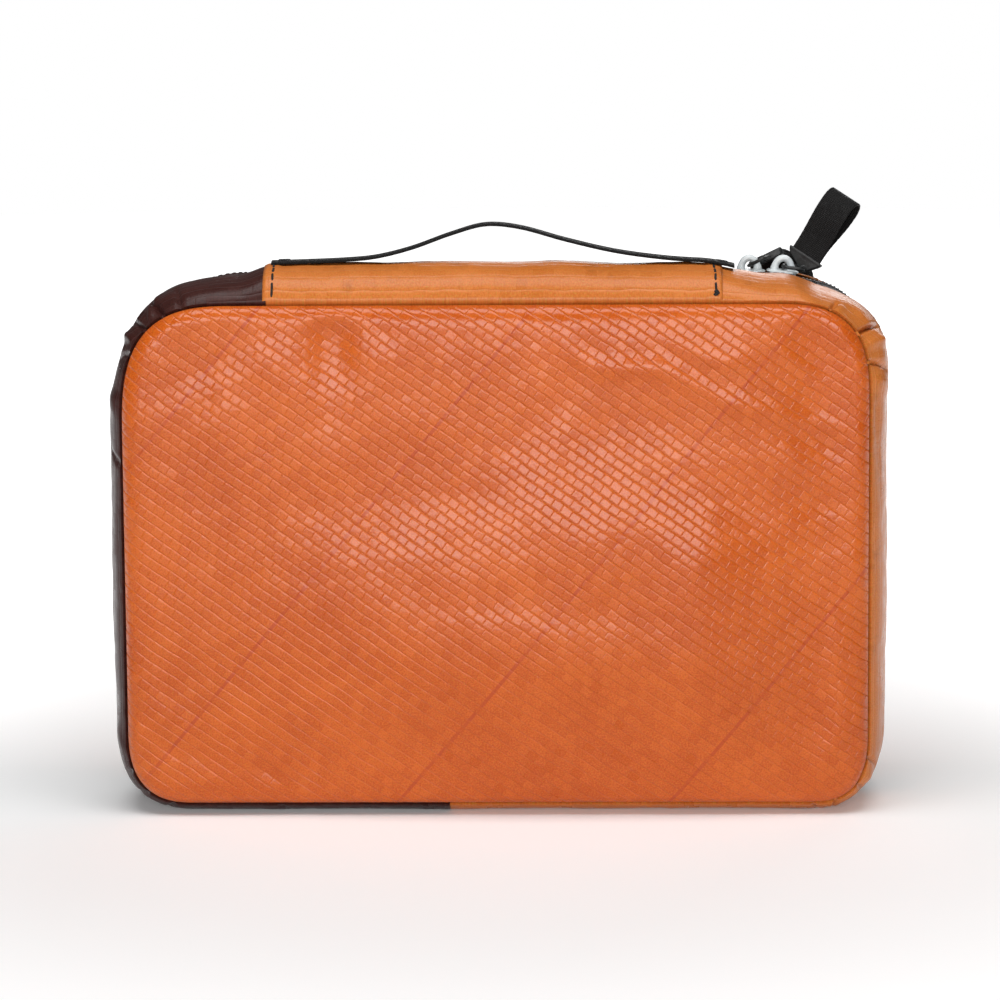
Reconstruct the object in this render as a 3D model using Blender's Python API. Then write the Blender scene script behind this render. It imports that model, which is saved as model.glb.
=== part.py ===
"""A soft packing cube of coated fabric, standing on its long edge.

Millimetre-thin fabric panels make a rounded box. The tub is the front panel and a deep
gusset in three pieces. The lid is the back panel and a narrow gusset. A zip with two
sliders joins them round the top, the sides and the bottom corners, and a strip of fabric
under the box is the hinge. Metres, +Z up, +X to the right, -Y to the front. The origin is
the middle of the underside.
"""

import math

import bmesh
import bpy
from mathutils import Matrix, Vector

# Fabric and thread
SKIN = 0.0010
MIDDLE_RAISE = 0.0006
TAPE = 0.0006
WEBBING = 0.0011
THREAD = 0.0007
GAP = 0.0003

# Depth stations of the box, from the front seam to the back seam
Y_FRONT = -0.037
Y_TUB_HEM = 0.006
Y_ZIP_FLAT = 0.012
Y_ZIP = 0.018
Y_LID_HEM = 0.030
Y_BACK = 0.037

# The box's outline at the front and back seams, and along the zip
SEAM = {"left": -0.1685, "right": 0.1665, "top": 0.2325, "bottom": 0.0045}
ZIP = {"left": -0.1740, "right": 0.1740, "top": 0.2380, "bottom": 0.0}
# Corner centre, then the roundness (2 is an ellipse) at the seams and along the zip
TOP_RIGHT = {"x": 0.124, "z": 0.188, "seam": 2.8, "zip": 2.0}
BOTTOM_RIGHT = {"x": 0.140, "z": 0.037, "seam": 2.6, "zip": 2.2}
BOTTOM_LEFT = {"x": -0.138, "z": 0.039, "seam": 2.6, "zip": 2.2}
TOP_LEFT = {"x": -0.116, "z": 0.172, "seam": 3.0, "zip": 2.0}

# How far the stuffed gusset swells out at its crest, at places round the outline.
# A whole number is where a straight side meets a corner, clockwise from the top left.
SWELL = (
    (0.00, 0.0095),
    (0.06, 0.0128),
    (0.50, 0.0134),
    (0.86, 0.0122),
    (1.00, 0.0070),
    (1.25, 0.0026),
    (1.60, 0.0014),
    (2.00, 0.0045),
    (2.50, 0.0050),
    (3.00, 0.0040),
    (4.00, 0.0040),
    (5.00, 0.0040),
    (6.00, 0.0040),
    (6.50, 0.0050),
    (7.00, 0.0040),
    (7.50, 0.0012),
    (8.00, 0.0095),
)
ROLL = 0.005
CREST = 0.017

# The two big panels are domed: a tight edge, then a slow crown
PANEL_EDGE = 0.0055
PANEL_EDGE_LENGTH = 0.003
PANEL_CROWN = 0.006
PANEL_CROWN_LENGTH = 0.040
PANEL_RINGS = (0.0003, 0.0015, 0.004, 0.009, 0.018, 0.036, 0.062, 0.090)
SEAM_ALLOWANCE = 0.008

# Where the gusset's three pieces meet, and where the zip ends on the underside
TOP_PIECE = (-0.104, 0.1005)
BOTTOM_JOIN = -0.0226
ZIP_END = 0.1185

# Zip
COIL_WIDTH = 0.002
COIL_THICKNESS = 0.0024
COIL_SPACE = 0.0016
TAPE_DEPTH = 0.0016
COIL_TAPE_DEPTH = 0.0010
TAPE_OVERLAP = 0.0035
SLIDER_LENGTH = 0.0145
SLIDER_WIDTH = 0.0118
SLIDER_PLATE = 0.0012
SLIDER_CHANNEL = 0.0043
SLIDER_A_X = 0.1134
SLIDER_B_ANGLE = math.radians(5.0)
BRIDGE_OUTER = 0.0052
BRIDGE_BAR = 0.0016
BRIDGE_DEPTH = 0.0028

# Pulls: a thick wire ring through the bridge, a moulded end, and a loop of webbing
RING_LENGTH = 0.0094
RING_WIDTH = 0.0084
RING_CORNER = 0.0026
RING_WIRE = 0.0008
EYE_RADIUS = 0.0019
EYE_LENGTH = 0.0030
END_RISE = 0.0058
END_WIDTH = 0.0176
END_THICKNESS = 0.0038
SOCKET_DEPTH = 0.0016
LOOP_WIDTH = 0.015
LOOP_LENGTH = 0.032
LOOP_WEBBING = 0.0009
LOOP_BELLY = 0.0032
LEG_SPACE = 0.0001

# Carrying handle
HANDLE_Y = -0.0125
HANDLE_WIDTH = 0.015
HANDLE_Z = 0.2483
# Distance along the box, and height of the webbing above the gusset under it
HANDLE_ARCH = (
    (-0.102, 0.0),
    (-0.085, 0.0001),
    (-0.068, 0.0006),
    (-0.054, 0.0018),
    (-0.038, 0.0056),
    (-0.020, 0.0119),
    (-0.005, 0.0158),
    (0.010, 0.0145),
    (0.030, 0.0092),
    (0.052, 0.0044),
    (0.074, 0.0016),
    (0.092, 0.0004),
    (0.107, 0.0),
)
HANDLE_JOINTS = (-0.101, -0.090, -0.030, 0.034, 0.095, 0.106)

# Stations along each straight side and each corner, for the fabric pieces
STEPS = {"top": 12, "side": 6, "bottom": 10, "corner": 8}

COLOURS = {
    "orange": ((0.80, 0.18, 0.035), 0.35),
    "orange_strip": ((0.70, 0.19, 0.045), 0.38),
    "brown": ((0.060, 0.018, 0.015), 0.40),
    "webbing": ((0.010, 0.009, 0.009), 0.80),
    "zip_black": ((0.012, 0.012, 0.013), 0.70),
    "slider_white": ((0.72, 0.76, 0.76), 0.35),
    "moulded_black": ((0.016, 0.016, 0.016), 0.45),
    "thread": ((0.010, 0.010, 0.012), 0.60),
    "binding": ((0.015, 0.014, 0.014), 0.85),
}


# ---- Outline of the box -------------------------------------------------------------


def mixed(a, b, share):
    return a + (b - a) * share


def smooth(share):
    share = min(max(share, 0.0), 1.0)
    return share * share * (3 - 2 * share)


def outline(place, zip_share, inset=0.0):
    """The point (x, z) and outward direction at a place from 0 to 8 round the box."""
    side = {name: mixed(SEAM[name], ZIP[name], zip_share) for name in SEAM}
    left, right = side["left"] + inset, side["right"] - inset
    bottom, top = side["bottom"] + inset, side["top"] - inset

    def corner(spec, edge_x, edge_z):
        half_x = max(abs(edge_x - spec["x"]), 0.006)
        half_z = max(abs(edge_z - spec["z"]), 0.006)
        return half_x, half_z, mixed(spec["seam"], spec["zip"], zip_share)

    def held(spec, edge_x, edge_z):
        """The corner's half sizes and centre, kept inside a deeply inset outline."""
        toward_x = 1 if spec["x"] > 0 else -1
        toward_z = 1 if spec["z"] > 0.1 else -1
        if toward_x * (edge_x - spec["x"]) < 0.006 or toward_z * (edge_z - spec["z"]) < 0.006:
            half_x = max(toward_x * (edge_x - spec["x"]), 0.006)
            half_z = max(toward_z * (edge_z - spec["z"]), 0.006)
        else:
            half_x, half_z, _ = corner(spec, edge_x, edge_z)
        power = mixed(spec["seam"], spec["zip"], zip_share)
        return half_x, half_z, power, edge_x - toward_x * half_x, edge_z - toward_z * half_z

    top_right = held(TOP_RIGHT, right, top)
    bottom_right = held(BOTTOM_RIGHT, right, bottom)
    bottom_left = held(BOTTOM_LEFT, left, bottom)
    top_left = held(TOP_LEFT, left, top)

    def arc(spec, turn):
        half_x, half_z, power, centre_x, centre_z = spec
        c, s = math.cos(turn), math.sin(turn)
        reach = 2 / power
        x = centre_x + half_x * math.copysign(abs(c) ** reach, c)
        z = centre_z + half_z * math.copysign(abs(s) ** reach, s)
        way = Vector(
            (
                math.copysign(abs(c) ** (2 - reach), c) / half_x,
                math.copysign(abs(s) ** (2 - reach), s) / half_z,
            )
        ).normalized()
        return x, z, way.x, way.y

    place %= 8
    section, share = int(place), place - int(place)
    quarter = math.pi / 2
    if section == 0:
        return mixed(top_left[3], top_right[3], share), top, 0.0, 1.0
    if section == 1:
        return arc(top_right, quarter * (1 - share))
    if section == 2:
        return right, mixed(top_right[4], bottom_right[4], share), 1.0, 0.0
    if section == 3:
        return arc(bottom_right, -quarter * share)
    if section == 4:
        return mixed(bottom_right[3], bottom_left[3], share), bottom, 0.0, -1.0
    if section == 5:
        return arc(bottom_left, -quarter * (1 + share))
    if section == 6:
        return left, mixed(bottom_left[4], top_left[4], share), -1.0, 0.0
    return arc(top_left, quarter * (2 - share))


def swell(place):
    place %= 8
    for (a, low), (b, high) in zip(SWELL, SWELL[1:]):
        if a <= place <= b:
            return mixed(low, high, smooth((place - a) / (b - a)))
    return SWELL[-1][1]


def depth_shape(y):
    """How far the outline has gone from the seam's to the zip's, and its share of swell."""
    if y >= Y_LID_HEM:
        past = min((y - Y_LID_HEM) / (Y_BACK - Y_LID_HEM), 1.0)
        return math.sqrt(1 - past * past), 0.0
    if y >= Y_ZIP_FLAT:
        return 1.0, 0.0
    deep = max(y - Y_FRONT, 0.0)
    whole = Y_ZIP_FLAT - Y_FRONT
    fall = min(max((deep - CREST) / (whole - CREST), 0.0), 1.0)
    hump = (1 - math.exp(-deep / ROLL)) * math.cos(fall * math.pi / 2)
    return deep / whole, hump


def skin(place, y, inset=0.0):
    """A point of the gusset's outer surface, or this far inside it."""
    zip_share, hump = depth_shape(y)
    x, z, out_x, out_z = outline(place, zip_share)
    rise = swell(place) * hump
    x, z = x + out_x * rise, max(z + out_z * rise, 0.0)
    return Vector((x - out_x * inset, y, z - out_z * inset))


def top_place(x):
    return (x - TOP_LEFT["x"]) / (TOP_RIGHT["x"] - TOP_LEFT["x"])


def bottom_place(x):
    return 4 + (BOTTOM_RIGHT["x"] - x) / (BOTTOM_RIGHT["x"] - BOTTOM_LEFT["x"])


def places(start, end, spread=1):
    """Places from start to end, with the regular stations between them."""
    counts = [STEPS[n] * spread for n in ("top", "corner", "side", "corner", "bottom", "corner", "side", "corner")]
    marks = []
    for turn in range(3):
        for section, count in enumerate(counts):
            marks += [8 * turn + section + i / count for i in range(count)]
    close = 0.02
    return [start] + [m for m in marks if start + close < m < end - close] + [end]


# ---- Making objects -----------------------------------------------------------------


def clear_scene():
    for obj in list(bpy.data.objects):
        bpy.data.objects.remove(obj)


def material(name):
    made = bpy.data.materials.get(name)
    if made is None:
        made = bpy.data.materials.new(name)
        made.use_nodes = True
        shader = made.node_tree.nodes["Principled BSDF"]
        colour, roughness = COLOURS[name]
        shader.inputs["Base Color"].default_value = (*colour, 1.0)
        shader.inputs["Roughness"].default_value = roughness
        made.diffuse_color = (*colour, 1.0)
    return made


def new_object(name, bm, finish):
    mesh = bpy.data.meshes.new(name)
    bm.to_mesh(mesh)
    bm.free()
    obj = bpy.data.objects.new(name, mesh)
    bpy.context.scene.collection.objects.link(obj)
    mesh.materials.append(material(finish))
    mesh.shade_smooth()
    mesh.set_sharp_from_angle(angle=math.radians(40))
    return obj


def facing(bm, centre):
    """Turns an open surface's faces away from a point inside the box."""
    bm.normal_update()
    if sum(f.normal.dot(f.calc_center_median() - centre) for f in bm.faces) < 0:
        bmesh.ops.reverse_faces(bm, faces=bm.faces[:])


def fabric(name, rows, finish, closed=False, filled=False, thickness=SKIN):
    """A sheet through rows of points, given thickness on its inner side."""
    bm = bmesh.new()
    verts = [[bm.verts.new(p) for p in row] for row in rows]
    count = len(verts[0])
    for row, following in zip(verts, verts[1:]):
        for i in range(count if closed else count - 1):
            j = (i + 1) % count
            bm.faces.new((row[i], row[j], following[j], following[i]))
    if filled:
        bm.faces.new(verts[-1])
    facing(bm, Vector((0, 0, 0.12)))
    obj = new_object(name, bm, finish)
    solid = obj.modifiers.new("thickness", "SOLIDIFY")
    solid.thickness = thickness
    solid.offset = -1
    solid.use_even_offset = True
    solid.use_rim = True
    return obj


def sweep(name, sections, finish, closed=False):
    """A closed solid through a list of sections, each a ring of points."""
    bm = bmesh.new()
    rings = [[bm.verts.new(p) for p in section] for section in sections]
    pairs = list(zip(rings, rings[1:]))
    if closed:
        pairs.append((rings[-1], rings[0]))
    for a, b in pairs:
        for i in range(len(a)):
            j = (i + 1) % len(a)
            bm.faces.new((a[i], a[j], b[j], b[i]))
    if not closed:
        bm.faces.new(rings[0][::-1])
        bm.faces.new(rings[-1])
    bmesh.ops.recalc_face_normals(bm, faces=bm.faces[:])
    return new_object(name, bm, finish)


def strip(name, along, section, finish, closed=False):
    """A strip that follows the box's surface: section is a ring of (y, inset)."""
    rings = [[skin(place, y, inset) for y, inset in section] for place in along]
    return sweep(name, rings, finish, closed)


def box_mesh(bm, size, centre, turn=None):
    made = bmesh.ops.create_cube(bm, size=1.0)["verts"]
    bmesh.ops.scale(bm, vec=Vector(size), verts=made)
    if turn is not None:
        bmesh.ops.transform(bm, matrix=turn.to_4x4(), verts=made)
    bmesh.ops.translate(bm, vec=Vector(centre), verts=made)


def cylinder(bm, radius, length, centre, turn, segments=14):
    """A cylinder whose axis is the turn's local Y."""
    made = bmesh.ops.create_cone(
        bm, cap_ends=True, segments=segments, radius1=radius, radius2=radius, depth=length
    )["verts"]
    upright = Matrix.Rotation(math.pi / 2, 3, "X")
    bmesh.ops.transform(bm, matrix=(turn @ upright).to_4x4(), verts=made)
    bmesh.ops.translate(bm, vec=Vector(centre), verts=made)


def helper(name, build):
    """A hidden mesh that a Boolean modifier uses."""
    bm = bmesh.new()
    build(bm)
    obj = new_object(name, bm, "moulded_black")
    obj.hide_render = True
    obj.display_type = "WIRE"
    return obj


def combine(obj, other, operation):
    cut = obj.modifiers.new(other.name, "BOOLEAN")
    cut.operation = operation
    cut.object = other
    cut.solver = "EXACT"


# ---- Fabric panels and seams --------------------------------------------------------


def dome(inset):
    edge = PANEL_EDGE * (1 - math.exp(-inset / PANEL_EDGE_LENGTH))
    return edge + PANEL_CROWN * (1 - math.exp(-inset / PANEL_CROWN_LENGTH))


def panel(name, seam_y, way, finish):
    """A big domed panel, inside the seam at seam_y and swelling out along way."""
    along = places(0, 8)[:-1]
    rows = []
    for inset in PANEL_RINGS:
        y = seam_y + way * (GAP + dome(inset))
        rows.append([Vector((x, y, z)) for x, z, _, _ in (outline(p, 0, inset) for p in along)])
    return fabric(name, rows, finish, closed=True, filled=True)


def turned_edge(along, y):
    """Two rows of the seam allowance that a gusset piece turns into the box."""
    rows = []
    for inset in (SEAM_ALLOWANCE, 0.0):
        points = (outline(p, 0, inset) for p in along)
        rows.append([Vector((x, y, z)) for x, z, _, _ in points])
    return rows


def tub_gusset(name, start, end, finish, raise_by=0.0):
    along = places(start, end)
    hem = Y_TUB_HEM - Y_FRONT
    depths = (0.0015, 0.0035, 0.0065, 0.011, 0.017, 0.025, 0.033, hem - TAPE_OVERLAP, hem)
    rows = turned_edge(along, Y_FRONT + GAP)
    for deep in depths:
        rows.append([skin(p, Y_FRONT + deep, -raise_by) for p in along])
    return fabric(name, rows, finish, thickness=SKIN + raise_by)


def lid_gusset(name, start, end, finish):
    along = places(start, end)
    rows = [[skin(p, y) for p in along] for y in (Y_LID_HEM, 0.0325, 0.0350, 0.0364)]
    rows += turned_edge(along, Y_BACK - GAP)[::-1]
    return fabric(name, rows, finish)


def binding(name, seam_y, way):
    """Folded tape round the raw edges of a seam, inside the box."""
    along = places(0, 8)[:-1]
    outer, inner = SEAM_ALLOWANCE + 0.0011, SEAM_ALLOWANCE + GAP
    lip = 0.003
    front, back = -0.0008, SKIN + MIDDLE_RAISE + 3 * GAP + 0.0008
    profile = (
        (lip, front),
        (outer, front),
        (outer, back),
        (lip, back),
        (lip, back - 0.0008),
        (inner, back - 0.0008),
        (inner, front + 0.0008),
        (lip, front + 0.0008),
    )
    rings = []
    for place in along:
        ring = []
        for inset, deep in profile:
            x, z, _, _ = outline(place, 0, inset)
            ring.append(Vector((x, seam_y + way * deep, z)))
        rings.append(ring)
    return sweep(name, rings, "binding", closed=True)


def make_fabric():
    left_end = top_place(TOP_PIECE[0])
    right_end = top_place(TOP_PIECE[1])
    join = bottom_place(BOTTOM_JOIN)
    seam_gap = 0.0015
    panel("front_panel", Y_FRONT, -1, "orange")
    panel("lid_panel", Y_BACK, 1, "orange")
    tub_gusset("gusset_top", left_end, right_end, "orange_strip", raise_by=MIDDLE_RAISE)
    tub_gusset("gusset_right", right_end + seam_gap, join - seam_gap, "orange_strip")
    tub_gusset("gusset_left", join, 8 + left_end - seam_gap, "brown")
    start, end = zip_range()
    lid_gusset("lid_gusset_left", start, 8 + left_end - seam_gap, "brown")
    lid_gusset("lid_gusset_right", 8 + left_end, end, "orange_strip")
    binding("front_seam_binding", Y_FRONT, 1)
    binding("lid_seam_binding", Y_BACK, -1)
    make_hinge()


def make_hinge():
    """The strip of fabric under the box that the lid turns on."""
    half = ZIP_END - 0.0033
    along = places(bottom_place(half), bottom_place(-half))
    depths = (Y_TUB_HEM + GAP, Y_ZIP_FLAT, 0.021, Y_LID_HEM, 0.0325, 0.0350, 0.0364)
    rows = [[skin(p, y) for p in along] for y in depths]
    fabric("hinge_strip", rows, "orange_strip")
    row, deep = Y_LID_HEM - 0.002, SKIN + GAP
    thread = ((row, deep), (row + THREAD, deep), (row + THREAD, deep + THREAD), (row, deep + THREAD))
    along = places(bottom_place(half - 0.002), bottom_place(-half + 0.002))
    strip("hinge_stitching", along, thread, "thread")


# ---- Zip ----------------------------------------------------------------------------


def zip_range():
    return bottom_place(-ZIP_END), 8 + bottom_place(ZIP_END)


def make_zip():
    start, end = zip_range()
    along = places(start, end)
    half_space = COIL_SPACE / 2
    for side, way in (("tub", -1), ("lid", 1)):
        coil_in = Y_ZIP + way * half_space
        coil_out = Y_ZIP + way * (half_space + COIL_WIDTH)
        coil = ((coil_in, 0.0001), (coil_out, 0.0001))
        low = 0.0001 + COIL_THICKNESS
        coil += ((coil_out, low), (coil_in, low))
        strip(f"{side}_zip_coil", along, coil, "zip_black")
        edge = Y_TUB_HEM if side == "tub" else Y_LID_HEM
        hem = edge + way * TAPE_OVERLAP
        middle = Y_ZIP_FLAT if side == "tub" else (Y_ZIP + Y_LID_HEM) / 2
        near = coil_out + way * GAP
        steps = ((near, COIL_TAPE_DEPTH), (middle, COIL_TAPE_DEPTH), (edge, TAPE_DEPTH), (hem, TAPE_DEPTH))
        tape = list(steps)
        tape += [(y, deep + TAPE) for y, deep in reversed(steps)]
        strip(f"{side}_zip_tape", along, tape, "zip_black")
        row = hem - way * 0.0016
        sunk = TAPE_DEPTH + TAPE + GAP
        stitch = ((row, sunk), (row + THREAD, sunk), (row + THREAD, sunk + THREAD), (row, sunk + THREAD))
        strip(f"{side}_zip_stitching", along, stitch, "thread")
    for side, way in (("left", -1), ("right", 1)):
        bm = bmesh.new()
        centre = (way * (ZIP_END - 0.0016), Y_ZIP, 0.0019)
        box_mesh(bm, (0.0020, 0.0070, 0.0032), centre)
        new_object(f"zip_stop_{side}", bm, "moulded_black")


def slider_frame(name):
    """The middle of the coil under a slider, and the turn that stands it upright."""
    if name == "a":
        return Vector((SLIDER_A_X, Y_ZIP, ZIP["top"])), Matrix.Identity(3)
    centre = Vector((TOP_RIGHT["x"], Y_ZIP, TOP_RIGHT["z"]))
    turn = Matrix.Rotation(SLIDER_B_ANGLE, 3, "Y")
    return centre + turn @ Vector((0, 0, ZIP["top"] - TOP_RIGHT["z"])), turn


def slider_levels():
    """Heights of the slider's plates above the zip's skin: bottom, channel, top."""
    middle = -0.0001 - COIL_THICKNESS / 2
    low, high = middle - SLIDER_CHANNEL / 2, middle + SLIDER_CHANNEL / 2
    return low - SLIDER_PLATE, low, high, high + SLIDER_PLATE


def slider_section():
    """The slider seen along the zip: two plates on a post, with lips round the tub's coil."""
    floor, low, high, roof = slider_levels()
    half, post, lip = SLIDER_WIDTH / 2, 0.00045, 0.0011
    reach = 0.0009
    return (
        (-half, floor),
        (half, floor),
        (half, low),
        (post, low),
        (post, high),
        (half, high),
        (half, roof),
        (-half, roof),
        (-half, high - reach),
        (-half + lip, high - reach),
        (-half + lip, high),
        (-post, high),
        (-post, low),
        (-half + lip, low),
        (-half + lip, low + reach),
        (-half, low + reach),
    )


def plate_outline(bm):
    """A rounded plan of the slider, to trim its block to."""
    half_x, half_y = SLIDER_LENGTH / 2, SLIDER_WIDTH / 2 + 0.0002
    plan = ((-1, 0.45), (-0.82, 0.86), (-0.5, 1), (0.1, 1), (0.6, 0.9), (0.9, 0.72), (1, 0.42))
    points = [(half_x * x, half_y * y) for x, y in plan]
    points += [(x, -y) for x, y in reversed(points)]
    low = [bm.verts.new((x, y, -0.01)) for x, y in points]
    high = [bm.verts.new((x, y, 0.012)) for x, y in points]
    for i in range(len(points)):
        j = (i + 1) % len(points)
        bm.faces.new((low[i], low[j], high[j], high[i]))
    bm.faces.new(low[::-1])
    bm.faces.new(high)
    bmesh.ops.recalc_face_normals(bm, faces=bm.faces[:])


def bridge(bm):
    """The arch on top of the slider that holds the pull's ring."""
    roof = slider_levels()[3]
    outer, inner = BRIDGE_OUTER, BRIDGE_OUTER - BRIDGE_BAR
    turns = [math.pi * i / 10 for i in range(11)]
    squash = 1.08
    path = [(outer * math.cos(a), squash * outer * math.sin(a)) for a in turns]
    back = [(inner * math.cos(a), squash * inner * math.sin(a)) for a in reversed(turns)]
    foot = -0.0006
    points = [(outer, foot), *path, (-outer, foot), (-inner, foot), *back, (inner, foot)]
    rings = []
    for y in (-BRIDGE_DEPTH / 2, BRIDGE_DEPTH / 2):
        rings.append([bm.verts.new((x, y, roof + z)) for x, z in points])
    count = len(points)
    for i in range(count):
        j = (i + 1) % count
        bm.faces.new((rings[0][i], rings[0][j], rings[1][j], rings[1][i]))
    bm.faces.new(rings[0][::-1])
    bm.faces.new(rings[1])
    bmesh.ops.recalc_face_normals(bm, faces=bm.faces[:])


def hole_height():
    """Height of the ring's bar in the bridge, above the zip's skin."""
    return slider_levels()[3] + RING_WIRE + 3 * GAP


def make_slider(name):
    origin, turn = slider_frame(name)
    half = SLIDER_LENGTH / 2
    rings = [[Vector((x, y, z)) for y, z in slider_section()] for x in (-half, half)]
    body = sweep(f"slider_{name}", rings, "slider_white")
    trim = helper(f"slider_{name}_plan", plate_outline)
    arch = helper(f"slider_{name}_bridge", bridge)
    combine(body, trim, "INTERSECT")
    combine(body, arch, "UNION")
    for obj in (body, trim, arch):
        obj.matrix_world = Matrix.Translation(origin) @ turn.to_4x4()


# ---- Pulls --------------------------------------------------------------------------

PULLS = {
    # way, side: along and across the ring; held: the point of the ring in the bridge, along
    # it and across it; bar, rise: across and along the webbing; bend: how far the loop
    # turns over; shift: the webbing's middle, along the bar from the ring's middle
    "a": {
        "way": Vector((0.33, 0.94, 0.0)),
        "side": Vector((0.84, -0.30, 0.45)),
        "held": (0.0030, -RING_WIDTH / 2),
        "bar": Vector((0.84, -0.30, 0.45)),
        "rise": Vector((0.33, 0.94, 0.0)),
        "bend": math.radians(36),
        "shift": 0.0005,
    },
    "b": {
        "way": Vector((0.99, 0, -0.14)),
        "side": Vector((0, 1, 0)),
        "held": (0.0, 0.0),
        "bar": Vector((0.78, -0.40, -0.48)),
        "rise": Vector((0.543, 0.05, 0.84)),
        "bend": math.radians(6),
        "shift": -0.0023,
    },
}


def axes(along_x, along_z):
    """A turn whose local X and Z are these directions."""
    x, z = along_x.normalized(), along_z.normalized()
    z = (z - x * z.dot(x)).normalized()
    y = z.cross(x)
    return Matrix((x, y, z)).transposed()


def pull_points(name):
    """The bridge's hole, the ring's turn, the middle of its far bar, and the end's turn."""
    origin, turn = slider_frame(name)
    spec = PULLS[name]
    hole = origin + turn @ Vector((0, 0, hole_height()))
    way = spec["way"].normalized()
    side = (spec["side"] - way * spec["side"].dot(way)).normalized()
    ring = Matrix((way, side, way.cross(side))).transposed()
    along, across = spec["held"]
    far = hole + way * (RING_LENGTH - along) - side * across
    return hole, ring, far, axes(spec["bar"], spec["rise"])


def make_ring(name):
    """A rounded oblong of thick wire, through the bridge and through the moulded end."""
    _, turn, far, _ = pull_points(name)
    half, corner = RING_WIDTH / 2, RING_CORNER
    corners = (
        (corner - RING_LENGTH, half - corner, math.pi / 2, math.pi),
        (corner - RING_LENGTH, -half + corner, math.pi, 3 * math.pi / 2),
        (-corner, -half + corner, 3 * math.pi / 2, 2 * math.pi),
        (-corner, half - corner, 0, math.pi / 2),
    )
    points = []
    for along, side, start, end in corners:
        for i in range(5):
            angle = mixed(start, end, i / 4)
            points.append(Vector((along + corner * math.cos(angle), side + corner * math.sin(angle), 0)))
    up = Vector((0, 0, 1))
    sections = []
    count = len(points)
    for i, point in enumerate(points):
        ahead = (points[(i + 1) % count] - points[i - 1]).normalized()
        out = ahead.cross(up).normalized()
        ring = []
        for k in range(8):
            angle = 2 * math.pi * k / 8
            wire = RING_WIRE * (math.cos(angle) * out + math.sin(angle) * up)
            ring.append(far + turn @ (point + wire))
        sections.append(ring)
    sweep(f"pull_{name}_ring", sections, "moulded_black", closed=True)


def octagon(wide, thick, cut):
    """Corners of a rectangle with its corners cut off."""
    x, y = wide / 2, thick / 2
    quarter = ((x - cut, y), (x, y - cut), (x, -y + cut), (x - cut, -y))
    return quarter + tuple((-a, -b) for a, b in quarter)


def make_end(name):
    """The moulded end: an eye round the ring, widening to a socket for the webbing."""
    _, level, far, frame = pull_points(name)
    shift = PULLS[name]["shift"]
    stations = ((-0.0006, 0.0034, 0.0026, 0), (0.0027, 0.0046, 0.0030, 0))
    stations += ((0.0034, END_WIDTH - 0.002, 0.0034, 1), (0.0040, END_WIDTH, END_THICKNESS, 1))
    stations += ((END_RISE, END_WIDTH, END_THICKNESS, 1),)
    sections = []
    for rise, wide, thick, share in stations:
        ring = octagon(wide, thick, 0.0008)
        sections.append([far + frame @ Vector((x + shift * share, y, rise)) for x, y in ring])
    end = sweep(f"pull_{name}_end", sections, "moulded_black")

    def eye(bm):
        cylinder(bm, EYE_RADIUS, EYE_LENGTH, far, level, segments=18)

    def hole(bm):
        cylinder(bm, RING_WIRE + GAP, EYE_LENGTH * 3, far, level, segments=14)

    def socket(bm):
        deep = 2 * SOCKET_DEPTH
        size = (LOOP_WIDTH + 2 * GAP, 2 * (LOOP_WEBBING + LEG_SPACE + GAP), deep)
        box_mesh(bm, size, far + frame @ Vector((shift, 0, END_RISE)), frame)

    combine(end, helper(f"pull_{name}_end_eye", eye), "UNION")
    combine(end, helper(f"pull_{name}_end_hole", hole), "DIFFERENCE")
    combine(end, helper(f"pull_{name}_end_socket", socket), "DIFFERENCE")


def loop_line(bend):
    """The loop's middle line, seen along its width: (point, direction, half opening)."""
    straight, turn_length = 0.0012, 0.0100
    stations = [-SOCKET_DEPTH + GAP, 0.0, straight]
    stations += [straight + turn_length * i / 6 for i in range(1, 7)]
    last = LOOP_LENGTH - LOOP_BELLY - LOOP_WEBBING
    stations += [mixed(straight + turn_length, last, i / 4) for i in range(1, 5)]
    line = []
    point, before = Vector((0.0, stations[0])), stations[0]
    for station in stations:
        angle = bend * smooth((station - straight) / turn_length)
        way = Vector((math.sin(angle), math.cos(angle)))
        point = point + way * (station - before)
        before = station
        wide = mixed(LEG_SPACE, LOOP_BELLY, smooth((station - 0.003) / 0.018))
        line.append((point, way, wide))
    return line


def make_loop(name):
    """A band of webbing folded into a loop, with both ends held in the moulded end."""
    _, _, far, frame = pull_points(name)
    line = loop_line(PULLS[name]["bend"])
    steps = [(point, way, wide, math.pi / 2) for point, way, wide in line]
    point, way, wide = line[-1]
    steps += [(point, way, wide, math.pi / 2 * (1 - i / 4)) for i in range(1, 5)]
    half, shift = LOOP_WIDTH / 2, PULLS[name]["shift"]
    sections = []
    for side, order in ((1, steps), (-1, steps[-2::-1])):
        for point, way, wide, angle in order:
            normal = Vector((way.y, -way.x))
            reach = side * math.sin(angle) * normal + math.cos(angle) * way
            near = point + reach * wide
            apart = point + reach * (wide + LOOP_WEBBING)
            corners = ((near, -half), (near, half), (apart, half), (apart, -half))
            ring = [far + frame @ Vector((x + shift, c.x, END_RISE + c.y)) for c, x in corners]
            sections.append(ring)
    sweep(f"pull_{name}_loop", sections, "webbing")


# ---- Handle and visible stitching ---------------------------------------------------


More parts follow.
